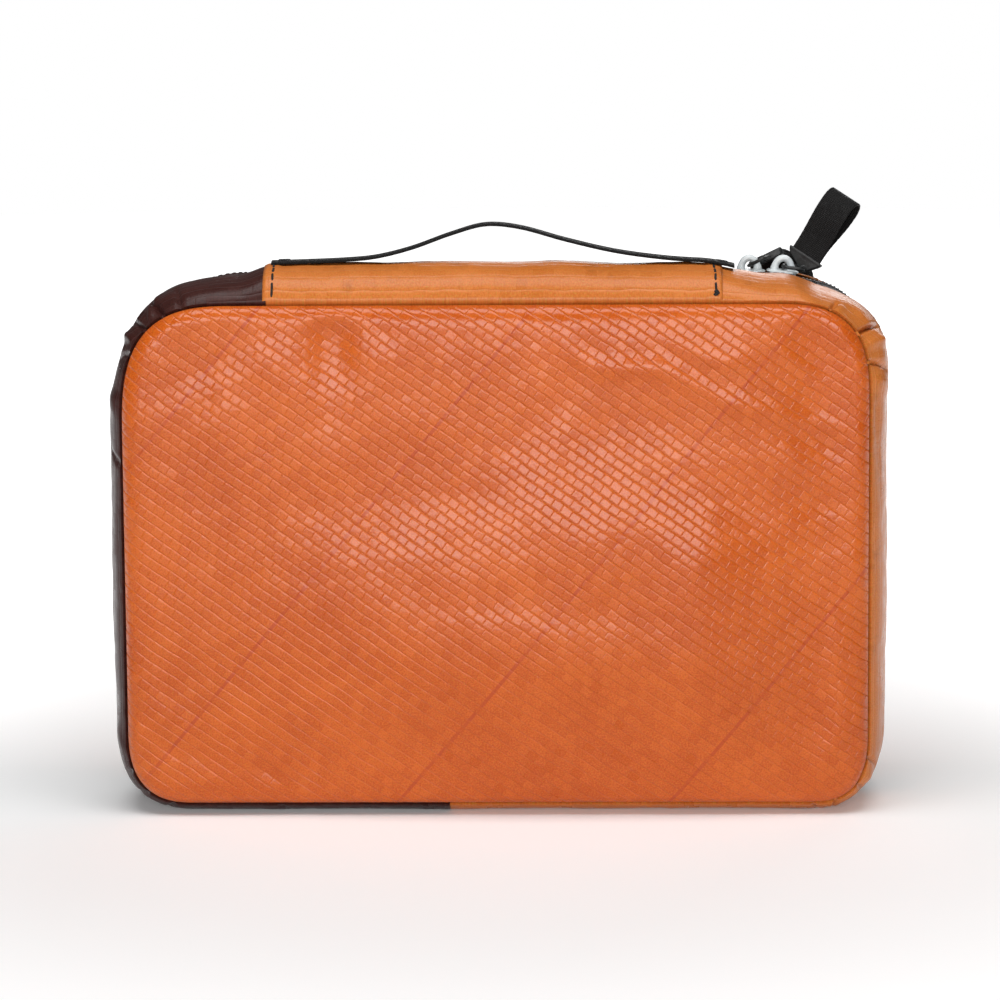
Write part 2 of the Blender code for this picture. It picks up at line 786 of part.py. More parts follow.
def arch_height(x):
    """Height of the handle above the gusset, on a smooth curve through its points."""
    spots = HANDLE_ARCH
    x = min(max(x, spots[0][0]), spots[-1][0])
    k = max(i for i in range(len(spots) - 1) if spots[i][0] <= x)
    before, after = max(k - 1, 0), min(k + 2, len(spots) - 1)
    (x0, h0), (x1, h1) = spots[k], spots[k + 1]
    share = (x - x0) / (x1 - x0)
    slope0 = (h1 - spots[before][1]) / (x1 - spots[before][0]) * (x1 - x0)
    slope1 = (spots[after][1] - h0) / (spots[after][0] - x0) * (x1 - x0)
    s2, s3 = share * share, share**3
    start = (2 * s3 - 3 * s2 + 1) * h0 + (s3 - 2 * s2 + share) * slope0
    return start + (3 * s2 - 2 * s3) * h1 + (s3 - s2) * slope1


def strap_section(x, low, high):
    """A cross-section of the handle's webbing: it lies to the gusset's shape."""
    half = HANDLE_WIDTH / 2
    across = [HANDLE_Y + half * share for share in (-1, -0.5, 0, 0.5, 1)]
    heights = [skin(top_place(x), y).z + MIDDLE_RAISE + GAP + arch_height(x) for y in across]
    below = [Vector((x, y, z + low)) for y, z in zip(across, heights)]
    above = [Vector((x, y, z + high)) for y, z in zip(across, heights)]
    return below + above[::-1]


def make_handle():
    names = ("handle_end_left", "handle_leg_left", "handle_grip", "handle_leg_right", "handle_end_right")
    for k, name in enumerate(names):
        start, end = HANDLE_JOINTS[k] + GAP / 2, HANDLE_JOINTS[k + 1] - GAP / 2
        steps = max(3, round((end - start) / 0.006))
        stations = [mixed(start, end, i / steps) for i in range(steps + 1)]
        sweep(name, [strap_section(x, 0.0, WEBBING) for x in stations], "webbing")
    low = WEBBING + GAP
    for side, x in (("left", -0.0955), ("right", 0.1005)):
        stations = (x - 0.0011, x + 0.0011)
        sections = [strap_section(x, low, low + THREAD)[1:4] + strap_section(x, low, low + THREAD)[6:9] for x in stations]
        sweep(f"handle_tack_{side}", sections, "thread")


def make_gusset_stitching():
    """The black rows that hold the gusset's middle piece at its two ends."""
    lift = MIDDLE_RAISE + GAP
    for side, x in (("left", TOP_PIECE[0] + 0.0035), ("right", TOP_PIECE[1] - 0.0035)):
        sections = []
        for deep in (0.0035, 0.0065, 0.011, 0.0145):
            y = Y_FRONT + deep
            low, high = -lift, -lift - THREAD
            ring = [skin(top_place(x - THREAD / 2), y, low), skin(top_place(x + THREAD / 2), y, low)]
            ring += [skin(top_place(x + THREAD / 2), y, high), skin(top_place(x - THREAD / 2), y, high)]
            sections.append(ring)
        sweep(f"gusset_stitching_{side}", sections, "thread")


# ---- Moving pieces ------------------------------------------------------------------

MOVING = {
    "lid": ("lid_panel", "lid_gusset_left", "lid_gusset_right", "lid_zip_tape", "lid_zip_coil",
            "lid_seam_binding", "lid_zip_stitching"),
    "handle": ("handle_grip",),
    "slider_a": ("slider_a",),
    "slider_b": ("slider_b",),
    "ring_a": ("pull_a_ring",),
    "ring_b": ("pull_b_ring",),
    "end_a": ("pull_a_end", "pull_a_loop"),
    "end_b": ("pull_b_end", "pull_b_loop"),
}


def pivots():
    """Where each moving group turns."""
    hole_a, _, far_a, _ = pull_points("a")
    hole_b, _, far_b, _ = pull_points("b")
    return {
        "lid": Vector((0, Y_BACK, SEAM["bottom"])),
        "handle": Vector((0, HANDLE_Y, HANDLE_Z)),
        "slider_a": slider_frame("a")[0],
        "slider_b": Vector((TOP_RIGHT["x"], Y_ZIP, TOP_RIGHT["z"])),
        "ring_a": hole_a,
        "ring_b": hole_b,
        "end_a": far_a,
        "end_b": far_b,
    }


def hang_on_pivots():
    """Parents each moving group to an empty on its own axis, and the empties in turn."""
    owners = {"ring_a": "slider_a", "ring_b": "slider_b", "end_a": "ring_a", "end_b": "ring_b"}
    empties = {}
    for group, place in pivots().items():
        empty = bpy.data.objects.new(f"{group}_pivot", None)
        bpy.context.scene.collection.objects.link(empty)
        empty.location = place
        empties[group] = (empty, place)
    for group, owner in owners.items():
        empty, place = empties[group]
        empty.parent = empties[owner][0]
        empty.location = place - empties[owner][1]
    bpy.context.view_layer.update()
    for group, names in MOVING.items():
        empty = empties[group][0]
        for name in names:
            obj = bpy.data.objects[name]
            obj.parent = empty
            obj.matrix_parent_inverse = empty.matrix_world.inverted()


def main():
    clear_scene()
    make_fabric()
    make_zip()
    for name in PULLS:
        make_slider(name)
        make_ring(name)
        make_end(name)
        make_loop(name)
    make_handle()
    make_gusset_stitching()
    bpy.context.view_layer.update()
    hang_on_pivots()


main()
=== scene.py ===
"""Looks for the packing cube: coated woven tarpaulin, zip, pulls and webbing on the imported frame.

Metres, +Z up, +X to the right, -Y to the front, the origin in the middle of the underside.
"""

import math

import bmesh
import bpy
import numpy as np
from mathutils import Matrix, Vector, noise


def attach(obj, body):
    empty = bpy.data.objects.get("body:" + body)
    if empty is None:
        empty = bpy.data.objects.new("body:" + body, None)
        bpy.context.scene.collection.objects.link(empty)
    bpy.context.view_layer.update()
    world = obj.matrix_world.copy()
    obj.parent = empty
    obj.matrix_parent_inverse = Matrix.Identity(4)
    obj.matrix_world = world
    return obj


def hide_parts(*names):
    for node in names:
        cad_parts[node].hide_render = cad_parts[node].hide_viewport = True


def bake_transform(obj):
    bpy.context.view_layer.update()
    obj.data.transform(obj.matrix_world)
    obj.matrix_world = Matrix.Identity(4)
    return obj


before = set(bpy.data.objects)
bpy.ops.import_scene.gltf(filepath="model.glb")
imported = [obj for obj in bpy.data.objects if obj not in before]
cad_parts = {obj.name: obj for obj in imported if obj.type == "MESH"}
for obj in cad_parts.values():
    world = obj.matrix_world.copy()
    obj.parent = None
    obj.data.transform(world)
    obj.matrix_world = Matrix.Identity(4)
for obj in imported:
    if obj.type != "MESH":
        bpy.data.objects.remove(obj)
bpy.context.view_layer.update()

# ---- Shape of the box, as in the part ---------------------------------------------------

SKIN = 0.0010
GAP = 0.0003
MIDDLE_RAISE = 0.0006
CLOTH = 0.00042
Y_FRONT, Y_TUB_HEM, Y_ZIP_FLAT, Y_ZIP, Y_LID_HEM, Y_BACK = -0.037, 0.006, 0.012, 0.018, 0.030, 0.037
SEAM = {"left": -0.1685, "right": 0.1665, "top": 0.2325, "bottom": 0.0045}
ZIP = {"left": -0.1740, "right": 0.1740, "top": 0.2380, "bottom": 0.0}
TOP_RIGHT = {"x": 0.124, "z": 0.188, "seam": 2.8, "zip": 2.0}
BOTTOM_RIGHT = {"x": 0.140, "z": 0.037, "seam": 2.6, "zip": 2.2}
BOTTOM_LEFT = {"x": -0.138, "z": 0.039, "seam": 2.6, "zip": 2.2}
TOP_LEFT = {"x": -0.116, "z": 0.172, "seam": 3.0, "zip": 2.0}
SWELL = (
    (0.00, 0.0095), (0.06, 0.0128), (0.50, 0.0134), (0.86, 0.0122), (1.00, 0.0070), (1.25, 0.0026),
    (1.60, 0.0014), (2.00, 0.0045), (2.50, 0.0050), (3.00, 0.0040), (4.00, 0.0040), (5.00, 0.0040),
    (6.00, 0.0040), (6.50, 0.0050), (7.00, 0.0040), (7.50, 0.0012), (8.00, 0.0095),
)
ROLL, CREST = 0.005, 0.017
PANEL_EDGE, PANEL_EDGE_LENGTH, PANEL_CROWN = 0.0055, 0.003, 0.0026
PANEL_HALF_LENGTH, PANEL_MIDDLE, PANEL_HALF_HEIGHT = 0.1680, 0.1185, 0.1145
FLOOR_MOST, FLOOR_SLOPE = 0.0026, 0.17
SEAM_ALLOWANCE = 0.008
TOP_PIECE = (-0.104, 0.1005)
BOTTOM_JOIN = -0.0226
ZIP_END = 0.1185
COIL_WIDTH, COIL_THICKNESS, COIL_SPACE = 0.002, 0.0024, 0.0016
TAPE_DEPTH, COIL_TAPE_DEPTH, TAPE_OVERLAP, TAPE = 0.0016, 0.0010, 0.0035, 0.0006
SLIDER_LENGTH, SLIDER_WIDTH, SLIDER_PLATE, SLIDER_CHANNEL = 0.0145, 0.0118, 0.0012, 0.0043
SLIDER_A_X, SLIDER_B_ANGLE = 0.1134, math.radians(5.0)
RING_LENGTH, RING_WIDTH, RING_CORNER, RING_WIRE = 0.0094, 0.0084, 0.0026, 0.0008
EYE_RADIUS, EYE_LENGTH, SOCKET_DEPTH = 0.0019, 0.0030, 0.0016
END_RISE, END_WIDTH, END_THICKNESS = 0.0058, 0.0176, 0.0038
LOOP_WIDTH, LOOP_LENGTH, LOOP_WEBBING, LOOP_BELLY, LEG_SPACE = 0.015, 0.032, 0.0009, 0.0032, 0.0001
HANDLE_Y, HANDLE_WIDTH, WEBBING = -0.0125, 0.015, 0.0011
HANDLE_ARCH = (
    (-0.102, 0.0), (-0.085, 0.0001), (-0.068, 0.0006), (-0.054, 0.0018), (-0.038, 0.0056),
    (-0.020, 0.0119), (-0.005, 0.0158), (0.010, 0.0145), (0.030, 0.0092), (0.052, 0.0044),
    (0.074, 0.0016), (0.092, 0.0004), (0.107, 0.0),
)
HANDLE_JOINTS = (-0.101, -0.090, -0.030, 0.034, 0.095, 0.106)


def mixed(a, b, share):
    """The value this share of the way from a to b."""
    return a + (b - a) * share


def smooth(share):
    """A share from 0 to 1, eased at both ends."""
    share = min(max(share, 0.0), 1.0)
    return share * share * (3 - 2 * share)


def bell(off):
    """A smooth bump: one at nothing off, near nothing from two off."""
    return math.exp(-off * off)


def outline(place, zip_share, inset=0.0):
    """The point (x, z) and outward direction at a place from 0 to 8 round the box."""
    side = {name: mixed(SEAM[name], ZIP[name], zip_share) for name in SEAM}
    left, right = side["left"] + inset, side["right"] - inset
    bottom, top = side["bottom"] + inset, side["top"] - inset

    def held(spec, edge_x, edge_z):
        toward_x = 1 if spec["x"] > 0 else -1
        toward_z = 1 if spec["z"] > 0.1 else -1
        half_x = max(toward_x * (edge_x - spec["x"]), 0.006)
        half_z = max(toward_z * (edge_z - spec["z"]), 0.006)
        power = mixed(spec["seam"], spec["zip"], zip_share)
        return half_x, half_z, power, edge_x - toward_x * half_x, edge_z - toward_z * half_z

    def arc(spec, turn):
        half_x, half_z, power, centre_x, centre_z = spec
        c, s = math.cos(turn), math.sin(turn)
        reach = 2 / power
        x = centre_x + half_x * math.copysign(abs(c) ** reach, c)
        z = centre_z + half_z * math.copysign(abs(s) ** reach, s)
        way_x = math.copysign(abs(c) ** (2 - reach), c) / half_x
        way_z = math.copysign(abs(s) ** (2 - reach), s) / half_z
        size = math.hypot(way_x, way_z)
        return x, z, way_x / size, way_z / size

    top_right = held(TOP_RIGHT, right, top)
    bottom_right = held(BOTTOM_RIGHT, right, bottom)
    bottom_left = held(BOTTOM_LEFT, left, bottom)
    top_left = held(TOP_LEFT, left, top)
    place %= 8
    section, share = int(place), place - int(place)
    quarter = math.pi / 2
    if section == 0:
        return mixed(top_left[3], top_right[3], share), top, 0.0, 1.0
    if section == 1:
        return arc(top_right, quarter * (1 - share))
    if section == 2:
        return right, mixed(top_right[4], bottom_right[4], share), 1.0, 0.0
    if section == 3:
        return arc(bottom_right, -quarter * share)
    if section == 4:
        return mixed(bottom_right[3], bottom_left[3], share), bottom, 0.0, -1.0
    if section == 5:
        return arc(bottom_left, -quarter * (1 + share))
    if section == 6:
        return left, mixed(bottom_left[4], top_left[4], share), -1.0, 0.0
    return arc(top_left, quarter * (2 - share))


def swell(place):
    """How far the stuffed gusset stands out at a place of its outline."""
    place %= 8
    for (a, low), (b, high) in zip(SWELL, SWELL[1:]):
        if a <= place <= b:
            return mixed(low, high, smooth((place - a) / (b - a)))
    return SWELL[-1][1]


def depth_shape(y):
    """At a depth: the share of the way from the seam's outline to the zip's, and of the swell."""
    if y >= Y_LID_HEM:
        past = min((y - Y_LID_HEM) / (Y_BACK - Y_LID_HEM), 1.0)
        return math.sqrt(1 - past * past), 0.0
    if y >= Y_ZIP_FLAT:
        return 1.0, 0.0
    deep = max(y - Y_FRONT, 0.0)
    whole = Y_ZIP_FLAT - Y_FRONT
    fall = min(max((deep - CREST) / (whole - CREST), 0.0), 1.0)
    return deep / whole, (1 - math.exp(-deep / ROLL)) * math.cos(fall * math.pi / 2)


# Pushes of the outline: middle place, half width in places, height
ZIP_CURL, RIGHT_PUSH, LEFT_PUSH = (1.46, 0.20, 0.0026), (1.64, 0.24, 0.0048), (7.54, 0.22, 0.0044)
SLACK_PLACE, SLACK_WIDTH, SLACK = 7.92, 0.13, -0.0016
CURL_DEPTH = 0.011


def hill(at, spec, power):
    middle, half_width, height = spec
    return height * math.exp(-(((at - middle) / half_width) ** power))


def corner_push(place, y):
    """How far the stuffing and the curled zip push the two top corners out, and the slack beside them in."""
    at = place % 8
    front, back = smooth((y - Y_FRONT) / 0.012), smooth((0.032 - y) / 0.030)
    zip_curl = hill(at, ZIP_CURL, 4) * math.exp(-(((y - Y_ZIP) / CURL_DEPTH) ** 4))
    right = hill(at, RIGHT_PUSH, 2) * front * smooth((0.018 - y) / 0.016)
    left = hill(at, LEFT_PUSH, 2) * front * back
    near = min(abs(at - SLACK_PLACE), abs(at + 8 - SLACK_PLACE))
    slack = SLACK * bell(near / SLACK_WIDTH) * front * back
    return zip_curl + right + left + slack


def skin(place, y, inset=0.0):
    """A point of the gusset's outer surface, or this far inside it."""
    zip_share, hump = depth_shape(y)
    x, z, out_x, out_z = outline(place, zip_share)
    rise = swell(place) * hump + corner_push(place, y)
    x, z = x + out_x * rise, max(z + out_z * rise, 0.0)
    return Vector((x - out_x * inset, y, z - out_z * inset))


def out_way(place, zip_share=1.0):
    """The way out of the box at a place of its outline."""
    _, _, x, z = outline(place, zip_share)
    return Vector((x, 0, z))


def ring_of(centre, a, b, count, start=0.0):
    """Points round an ellipse with half axes a and b."""
    angles = (2 * math.pi * (n + start) / count for n in range(count))
    return [centre + a * math.cos(w) + b * math.sin(w) for w in angles]


def top_place(x):
    """The place of the outline's top that is at x."""
    return (x - TOP_LEFT["x"]) / (TOP_RIGHT["x"] - TOP_LEFT["x"])


def bottom_place(x):
    """The place of the outline's bottom that is at x."""
    return 4 + (BOTTOM_RIGHT["x"] - x) / (BOTTOM_RIGHT["x"] - BOTTOM_LEFT["x"])


# Distance along the outline, so that stations and weave are evenly spaced
MARKS = np.linspace(0, 8, 3201)
LINE = np.array([outline(p if p < 8 else 0.0, 0.6)[:2] for p in MARKS])
ARC = np.concatenate([[0.0], np.cumsum(np.hypot(*np.diff(LINE, axis=0).T))])
ROUND = ARC[-1]


def arc_of(place):
    """The distance round the outline to a place."""
    turns = math.floor(place / 8)
    return turns * ROUND + float(np.interp(place - 8 * turns, MARKS, ARC))


def place_of(arc):
    """The place at a distance round the outline."""
    turns = math.floor(arc / ROUND)
    return 8 * turns + float(np.interp(arc - turns * ROUND, ARC, MARKS))


def stations(start, end, step, fine=None):
    """Places from start to end along the outline, with their distances; corners may be finer."""
    first, last = arc_of(start), arc_of(end)
    arcs = [first]
    while arcs[-1] < last - 1e-9:
        place = place_of(arcs[-1]) % 8
        near = fine is not None and abs((place % 2) - 1.5) < 0.58
        arcs.append(arcs[-1] + (fine if near else step))
    arcs[-1] = last
    if len(arcs) > 2 and last - arcs[-2] < 0.3 * step:
        arcs.pop(-2)
    return [(place_of(arc), arc) for arc in arcs]


# ---- Materials --------------------------------------------------------------------------


class Wire:
    """An output of a node, which can be added, multiplied and so on as a number can."""

    def __init__(self, finish, socket):
        self.finish, self.socket = finish, socket

    def __add__(self, other):
        return self.finish.math("ADD", self, other)

    def __sub__(self, other):
        return self.finish.math("SUBTRACT", self, other)

    def __rsub__(self, other):
        return self.finish.math("SUBTRACT", other, self)

    def __mul__(self, other):
        return self.finish.math("MULTIPLY", self, other)

    def __truediv__(self, other):
        return self.finish.math("DIVIDE", self, other)

    def __mod__(self, other):
        return self.finish.math("FLOORED_MODULO", self, other)

    def __pow__(self, other):
        return self.finish.math("POWER", self, other)

    def __abs__(self):
        return self.finish.math("ABSOLUTE", self)


class Finish:
    """A node material, written as short steps."""

    def __init__(self, name, **values):
        self.material = bpy.data.materials.new(name)
        self.material.use_nodes = True
        self.tree = self.material.node_tree
        self.shader = self.tree.nodes["Principled BSDF"]
        for key, value in values.items():
            self.shader.inputs[key.replace("_", " ")].default_value = value

    def node(self, kind, values=None, give=(0,), **settings):
        """A new node, as a list of the outputs asked for."""
        new = self.tree.nodes.new("ShaderNode" + kind)
        for key, value in settings.items():
            setattr(new, key, value)
        for key, value in (values or {}).items():
            if isinstance(value, Wire):
                self.tree.links.new(value.socket, new.inputs[key])
            else:
                new.inputs[key].default_value = value
        return [Wire(self, new.outputs[key]) for key in give]

    def math(self, operation, a, b=0.0):
        return self.node("Math", {0: a, 1: b}, operation=operation)[0]

    def mix(self, share, a, b):
        return self.node("Mix", {0: share, 6: a, 7: b}, (2,), data_type="RGBA")[0]

    def ramp(self, value, low, high, to_low=0.0, to_high=1.0):
        """A soft step from one value to the other."""
        spans = {0: value, 1: low, 2: high, 3: to_low, 4: to_high}
        return self.node("MapRange", spans, interpolation_type="SMOOTHSTEP")[0]

    def noise(self, vector, scale, detail=2.0, rough=0.5):
        values = {"Vector": vector, "Scale": scale, "Detail": detail, "Roughness": rough}
        return self.node("TexNoise", values)[0]

    def cloth(self):
        """The cloth's map, and distances along and across the cloth in metres."""
        uv = self.node("UVMap", uv_map="cloth")[0]
        return [uv, *self.node("SeparateXYZ", {0: uv}, (0, 1))]

    def turned(self, u, v, angle):
        c, s = math.cos(angle), math.sin(angle)
        return u * c + v * s, v * c - u * s

    def cells(self, a, b):
        """How far each way from the middle of its cell, from -0.5 to 0.5."""
        return self.math("FRACT", a) - 0.5, self.math("FRACT", b) - 0.5

    def weave(self, a, b, pitch_a, pitch_b):
        """Height of a plain weave, from 0 to 1."""
        a, b = a / pitch_a, b / pitch_b
        over = (self.math("FLOOR", a) + self.math("FLOOR", b)) % 2.0
        under = 1.0 - over
        half_a, half_b = self.cells(a, b)
        run = half_a * under + half_b * over
        cross = half_b * under + half_a * over
        return self.math("COSINE", run * math.pi) * (1.0 - abs(cross * 2.0) ** 2.0)

    def bricks(self, a, b):
        """Flat tapes in long rows along a, crossed by tapes that show between them like bricks.

        Gives the height, the tapes without their gaps, the lips of the rows where a highlight is painted, and
        a number for each cell.
        """
        b = b / ROW_PITCH
        row = self.math("FLOOR", b)
        a = a / CELL_LENGTH + row % 2.0 * 0.5
        cell = self.node("CombineXYZ", {0: self.math("FLOOR", a), 1: row})[0]
        number, lots = self.node("TexWhiteNoise", {0: cell}, ("Value", "Color"), noise_dimensions="2D")
        side_a, side_b = self.cells(a, b)
        body = (1.0 - abs(side_b * 2.0) ** 6.0) * (1.0 - abs(side_a * 2.0) ** 12.0 * 0.55)
        lot_a, lot_b = self.node("SeparateXYZ", {0: lots}, (0, 1))
        lean = (side_a * (lot_a - 0.5) + side_b * (lot_b - 0.3)) * (body * 0.75)
        return body + lean, body, self.ramp(side_b, 0.33, 0.43), number

    def link(self, wire, name):
        self.tree.links.new(wire.socket, self.shader.inputs[name])

    def bump(self, height):
        """Height is in millimetres."""
        normal = self.node("Bump", {"Height": height, "Strength": 1.0, "Distance": 0.001})[0]
        self.link(normal, "Normal")
        if self.shader.inputs["Coat Weight"].default_value > 0:
            self.link(normal, "Coat Normal")


def shaded(colour, share):
    """The colour with this share of its brightness."""
    return [share * c for c in colour[:3]] + [1.0]


# Weave of the tarpaulin: its cells, the slant of its rows and of its odd tapes, and where those come
CELL_LENGTH, ROW_PITCH = 0.0048, 0.00435
ROWS_ANGLE, ODD_ANGLE = math.radians(-35.0), math.radians(50.5)
ODD_SPACE, ODD_START = 0.0945, 0.0395


def tarp(name, light, dark, angle, relief, gloss, coat_rough, painted_lines, shine, odd=None, stain=0.0):
    """Tarpaulin of woven tapes under a glossy coating. odd: the colour of the odd tapes."""
    f = Finish(name, Coat_Weight=gloss, Coat_Roughness=coat_rough, Coat_IOR=1.5, Specular_IOR_Level=shine)
    uv, u, v = f.cloth()
    a, b = f.turned(u, v, angle)
    sway = (f.noise(uv, 60.0, 1.0) - 0.5) * 0.0016
    height, body, lip, cell = f.bricks(a + sway, b - sway)
    grain, broad = f.noise(uv, 1300.0, 2.0, 0.7), f.noise(uv, 14.0, 3.0, 0.55)
    colour = f.mix(f.ramp(grain * 0.62 + broad * 0.30 + cell * 0.08, 0.36, 0.66), dark, light)
    # Painted shade: the grooves between the tapes are drawn darker, as shade falls in them.
    colour = f.mix(f.ramp(body, 0.55, 0.05, 0.0, painted_lines), colour, shaded(dark, 0.70))
    # Painted highlight: the upper lips of the rows are drawn paler, in random patches, as if they caught the
    # light.
    pale = [min(1.15 * c + 0.03, 1.0) for c in light[:3]] + [1.0]
    highlight_patches = f.ramp(f.noise(uv, 28.0, 3.0, 0.6), 0.40, 0.62, 0.15, 0.8)
    colour = f.mix(lip * highlight_patches * (1.6 * painted_lines), colour, pale)
    speck = f.ramp(f.noise(uv, 1900.0, 1.0, 0.5), 0.56, 0.68, 0.0, 0.55)
    colour = f.mix(speck, colour, [0.80 * light[0], 1.35 * light[1], light[2], 1.0])
    if odd is not None:
        _, cross = f.turned(u, v, ODD_ANGLE)
        off = abs(f.math("FRACT", (cross - (ODD_START - ODD_SPACE / 2)) / ODD_SPACE) - 0.5)
        colour = f.mix(f.ramp(off, 0.0105, 0.0060) * f.ramp(cell, 0.0, 1.0, 0.25, 0.7), colour, odd)
    if stain:
        dirt = f.ramp(f.noise(uv, 55.0, 4.0, 0.6), 0.56, 0.74) * stain
        colour = f.mix(dirt, colour, shaded(dark, 0.35))
    f.link(colour, "Base Color")
    f.link(f.ramp(broad * 0.6 + cell * 0.4, 0.2, 0.8, 0.26, 0.42), "Roughness")
    f.bump(height * relief + f.noise(uv, 170.0, 3.0, 0.6) * 0.20)
    return f.material


def webbing(name, light, dark):
    """Narrow nylon webbing: cross ribs broken by the lengthwise threads."""
    f = Finish(name, Sheen_Weight=0.03, Sheen_Roughness=0.4, Specular_IOR_Level=0.25)
    uv, u, v = f.cloth()
    height, wear = f.weave(u, v, 0.00078, 0.00105), f.noise(uv, 420.0, 3.0, 0.6)
    # Painted light and shade: the raised ribs are drawn lighter and the hollows darker, broken up by a random
    # worn tone.
    f.link(f.mix(f.ramp(height, 0.25, 0.95) * f.ramp(wear, 0.30, 0.72), dark, light), "Base Color")
    f.link(f.ramp(wear, 0.3, 0.7, 0.52, 0.78), "Roughness")
    f.bump(height * 0.20 + wear * 0.08)
    return f.material


def tape_cloth(name, light, dark):
    """Knitted zip tape or binding: fine slanting ribs."""
    f = Finish(name, Sheen_Weight=0.1, Specular_IOR_Level=0.3)
    uv, u, v = f.cloth()
    a, b = f.turned(u, v, math.radians(45))
    height, wear = f.weave(a, b, 0.0006, 0.0012), f.noise(uv, 600.0, 2.0, 0.6)
    # Painted light and shade: the raised ribs are drawn lighter and the hollows darker, broken up by a random
    # worn tone.
    f.link(f.mix(height * f.ramp(wear, 0.3, 0.7), dark, light), "Base Color")
    f.link(f.ramp(wear, 0.3, 0.7, 0.60, 0.85), "Roughness")
    f.bump(height * 0.10)
    return f.material


def plastic(name, light, dark, low, high, grain=900.0, relief=0.12):
    """Moulded plastic with a faint grain and rubbed patches."""
    f = Finish(name)
    place = f.node("TexCoord", give=("Object",))[0]
    broad = f.noise(place, 160.0, 4.0, 0.6)
    f.link(f.mix(f.ramp(broad, 0.3, 0.7), dark, light), "Base Color")
    f.link(f.ramp(broad, 0.3, 0.7, low, high), "Roughness")
    f.bump(f.noise(place, grain, 3.0, 0.6) * relief)
    return f.material


def thread(name, light, dark):
    """Twisted sewing thread."""
    f = Finish(name, Specular_IOR_Level=0.4)
    _, u, v = f.cloth()
    twist = f.math("SINE", (u + v) * (2 * math.pi / 0.00055))
    # Painted light and shade: the crests of the twist are drawn lighter and its grooves darker.
    f.link(f.mix(f.ramp(twist, -1.0, 1.0), dark, light), "Base Color")
    f.link(f.ramp(twist, -1.0, 1.0, 0.55, 0.7), "Roughness")
    f.bump(twist * 0.04)
    return f.material


ORANGE = tarp("orange_tarp", (0.635, 0.126, 0.012, 1), (0.470, 0.068, 0.004, 1), ROWS_ANGLE, 0.26,
              gloss=0.62, coat_rough=0.19, painted_lines=0.30, shine=0.08, odd=(0.42, 0.050, 0.010, 1))
STRIP = tarp("orange_strip_tarp", (0.620, 0.186, 0.040, 1), (0.500, 0.132, 0.022, 1), 0.0, 0.10,
             gloss=0.18, coat_rough=0.20, painted_lines=0.34, shine=0.12, stain=0.45)
BROWN = tarp("brown_strip_tarp", (0.060, 0.018, 0.015, 1), (0.032, 0.0085, 0.0070, 1), 0.0, 0.08,
             gloss=0.09, coat_rough=0.28, painted_lines=0.34, shine=0.12)
INK = webbing("black_webbing", (0.0095, 0.0085, 0.0085, 1), (0.0030, 0.0027, 0.0027, 1))
TAPE_BLACK = tape_cloth("black_zip_tape", (0.020, 0.020, 0.022, 1), (0.006, 0.006, 0.007, 1))
BINDING = tape_cloth("black_binding", (0.024, 0.023, 0.024, 1), (0.008, 0.008, 0.008, 1))
THREAD_BLACK = thread("black_thread", (0.016, 0.016, 0.018, 1), (0.004, 0.004, 0.005, 1))
COIL = plastic("black_coil", (0.022, 0.022, 0.024, 1), (0.010, 0.010, 0.011, 1), 0.32, 0.5)
WHITE = plastic("white_slider", (0.80, 0.84, 0.84, 1), (0.62, 0.67, 0.69, 1), 0.22, 0.40, 700.0, 0.06)
MOULDED = plastic("black_moulded", (0.026, 0.027, 0.027, 1), (0.011, 0.011, 0.011, 1), 0.36, 0.52, 1400.0)

# ---- Making pieces ----------------------------------------------------------------------


def made(name, bm, finish, angle=40):
    """A mesh object, smooth but for edges sharper than the angle."""
    mesh = bpy.data.meshes.new(name)
    bm.to_mesh(mesh)
    bm.free()
    obj = bpy.data.objects.new(name, mesh)
    bpy.context.scene.collection.objects.link(obj)
    mesh.materials.append(finish)
    mesh.shade_smooth()
    mesh.set_sharp_from_angle(angle=math.radians(angle))
    return obj


def made_solid(name, bm, finish, angle=40):
    """A mesh object of closed shells, with their faces turned outward."""
    bmesh.ops.recalc_face_normals(bm, faces=bm.faces[:])
    return made(name, bm, finish, angle)


def settle(obj, body, node):
    """Puts a piece on its body, in place of its node of the part."""
    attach(obj, body)
    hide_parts(node)


def lattice(bm, rows, marks, closed=False):
    """Faces through rows of points, with cloth distances as UVs."""
    layer = bm.loops.layers.uv.get("cloth") or bm.loops.layers.uv.new("cloth")
    verts = [[bm.verts.new(p) for p in row] for row in rows]
    count = len(verts[0])
    for r in range(len(rows) - 1):
        for i in range(count if closed else count - 1):
            j = (i + 1) % count
            face = bm.faces.new((verts[r][i], verts[r][j], verts[r + 1][j], verts[r + 1][i]))
            corners = [marks[r][i], marks[r][j], marks[r + 1][j], marks[r + 1][i]]
            for loop, uv in zip(face.loops, corners):
                loop[layer].uv = uv
    return verts


def cloth(name, bm, finish, thickness=CLOTH):
    """A piece of cloth with its faces outward, thickened inward."""
    centre = Vector((0, 0, 0.12))
    bm.normal_update()
    if sum(f.normal.dot(f.calc_center_median() - centre) for f in bm.faces) < 0:
        bmesh.ops.reverse_faces(bm, faces=bm.faces[:])
    obj = made(name, bm, finish, 60)
    shell = obj.modifiers.new("cloth thickness", "SOLIDIFY")
    shell.thickness = thickness
    shell.offset = -1.0
    shell.use_rim = True
    bpy.context.view_layer.update()
    mesh = bpy.data.meshes.new_from_object(obj.evaluated_get(bpy.context.evaluated_depsgraph_get()))
    obj.modifiers.clear()
    obj.data = mesh
    return obj


def middle_of(points):
    return sum((Vector(p) for p in points), Vector()) / len(points)


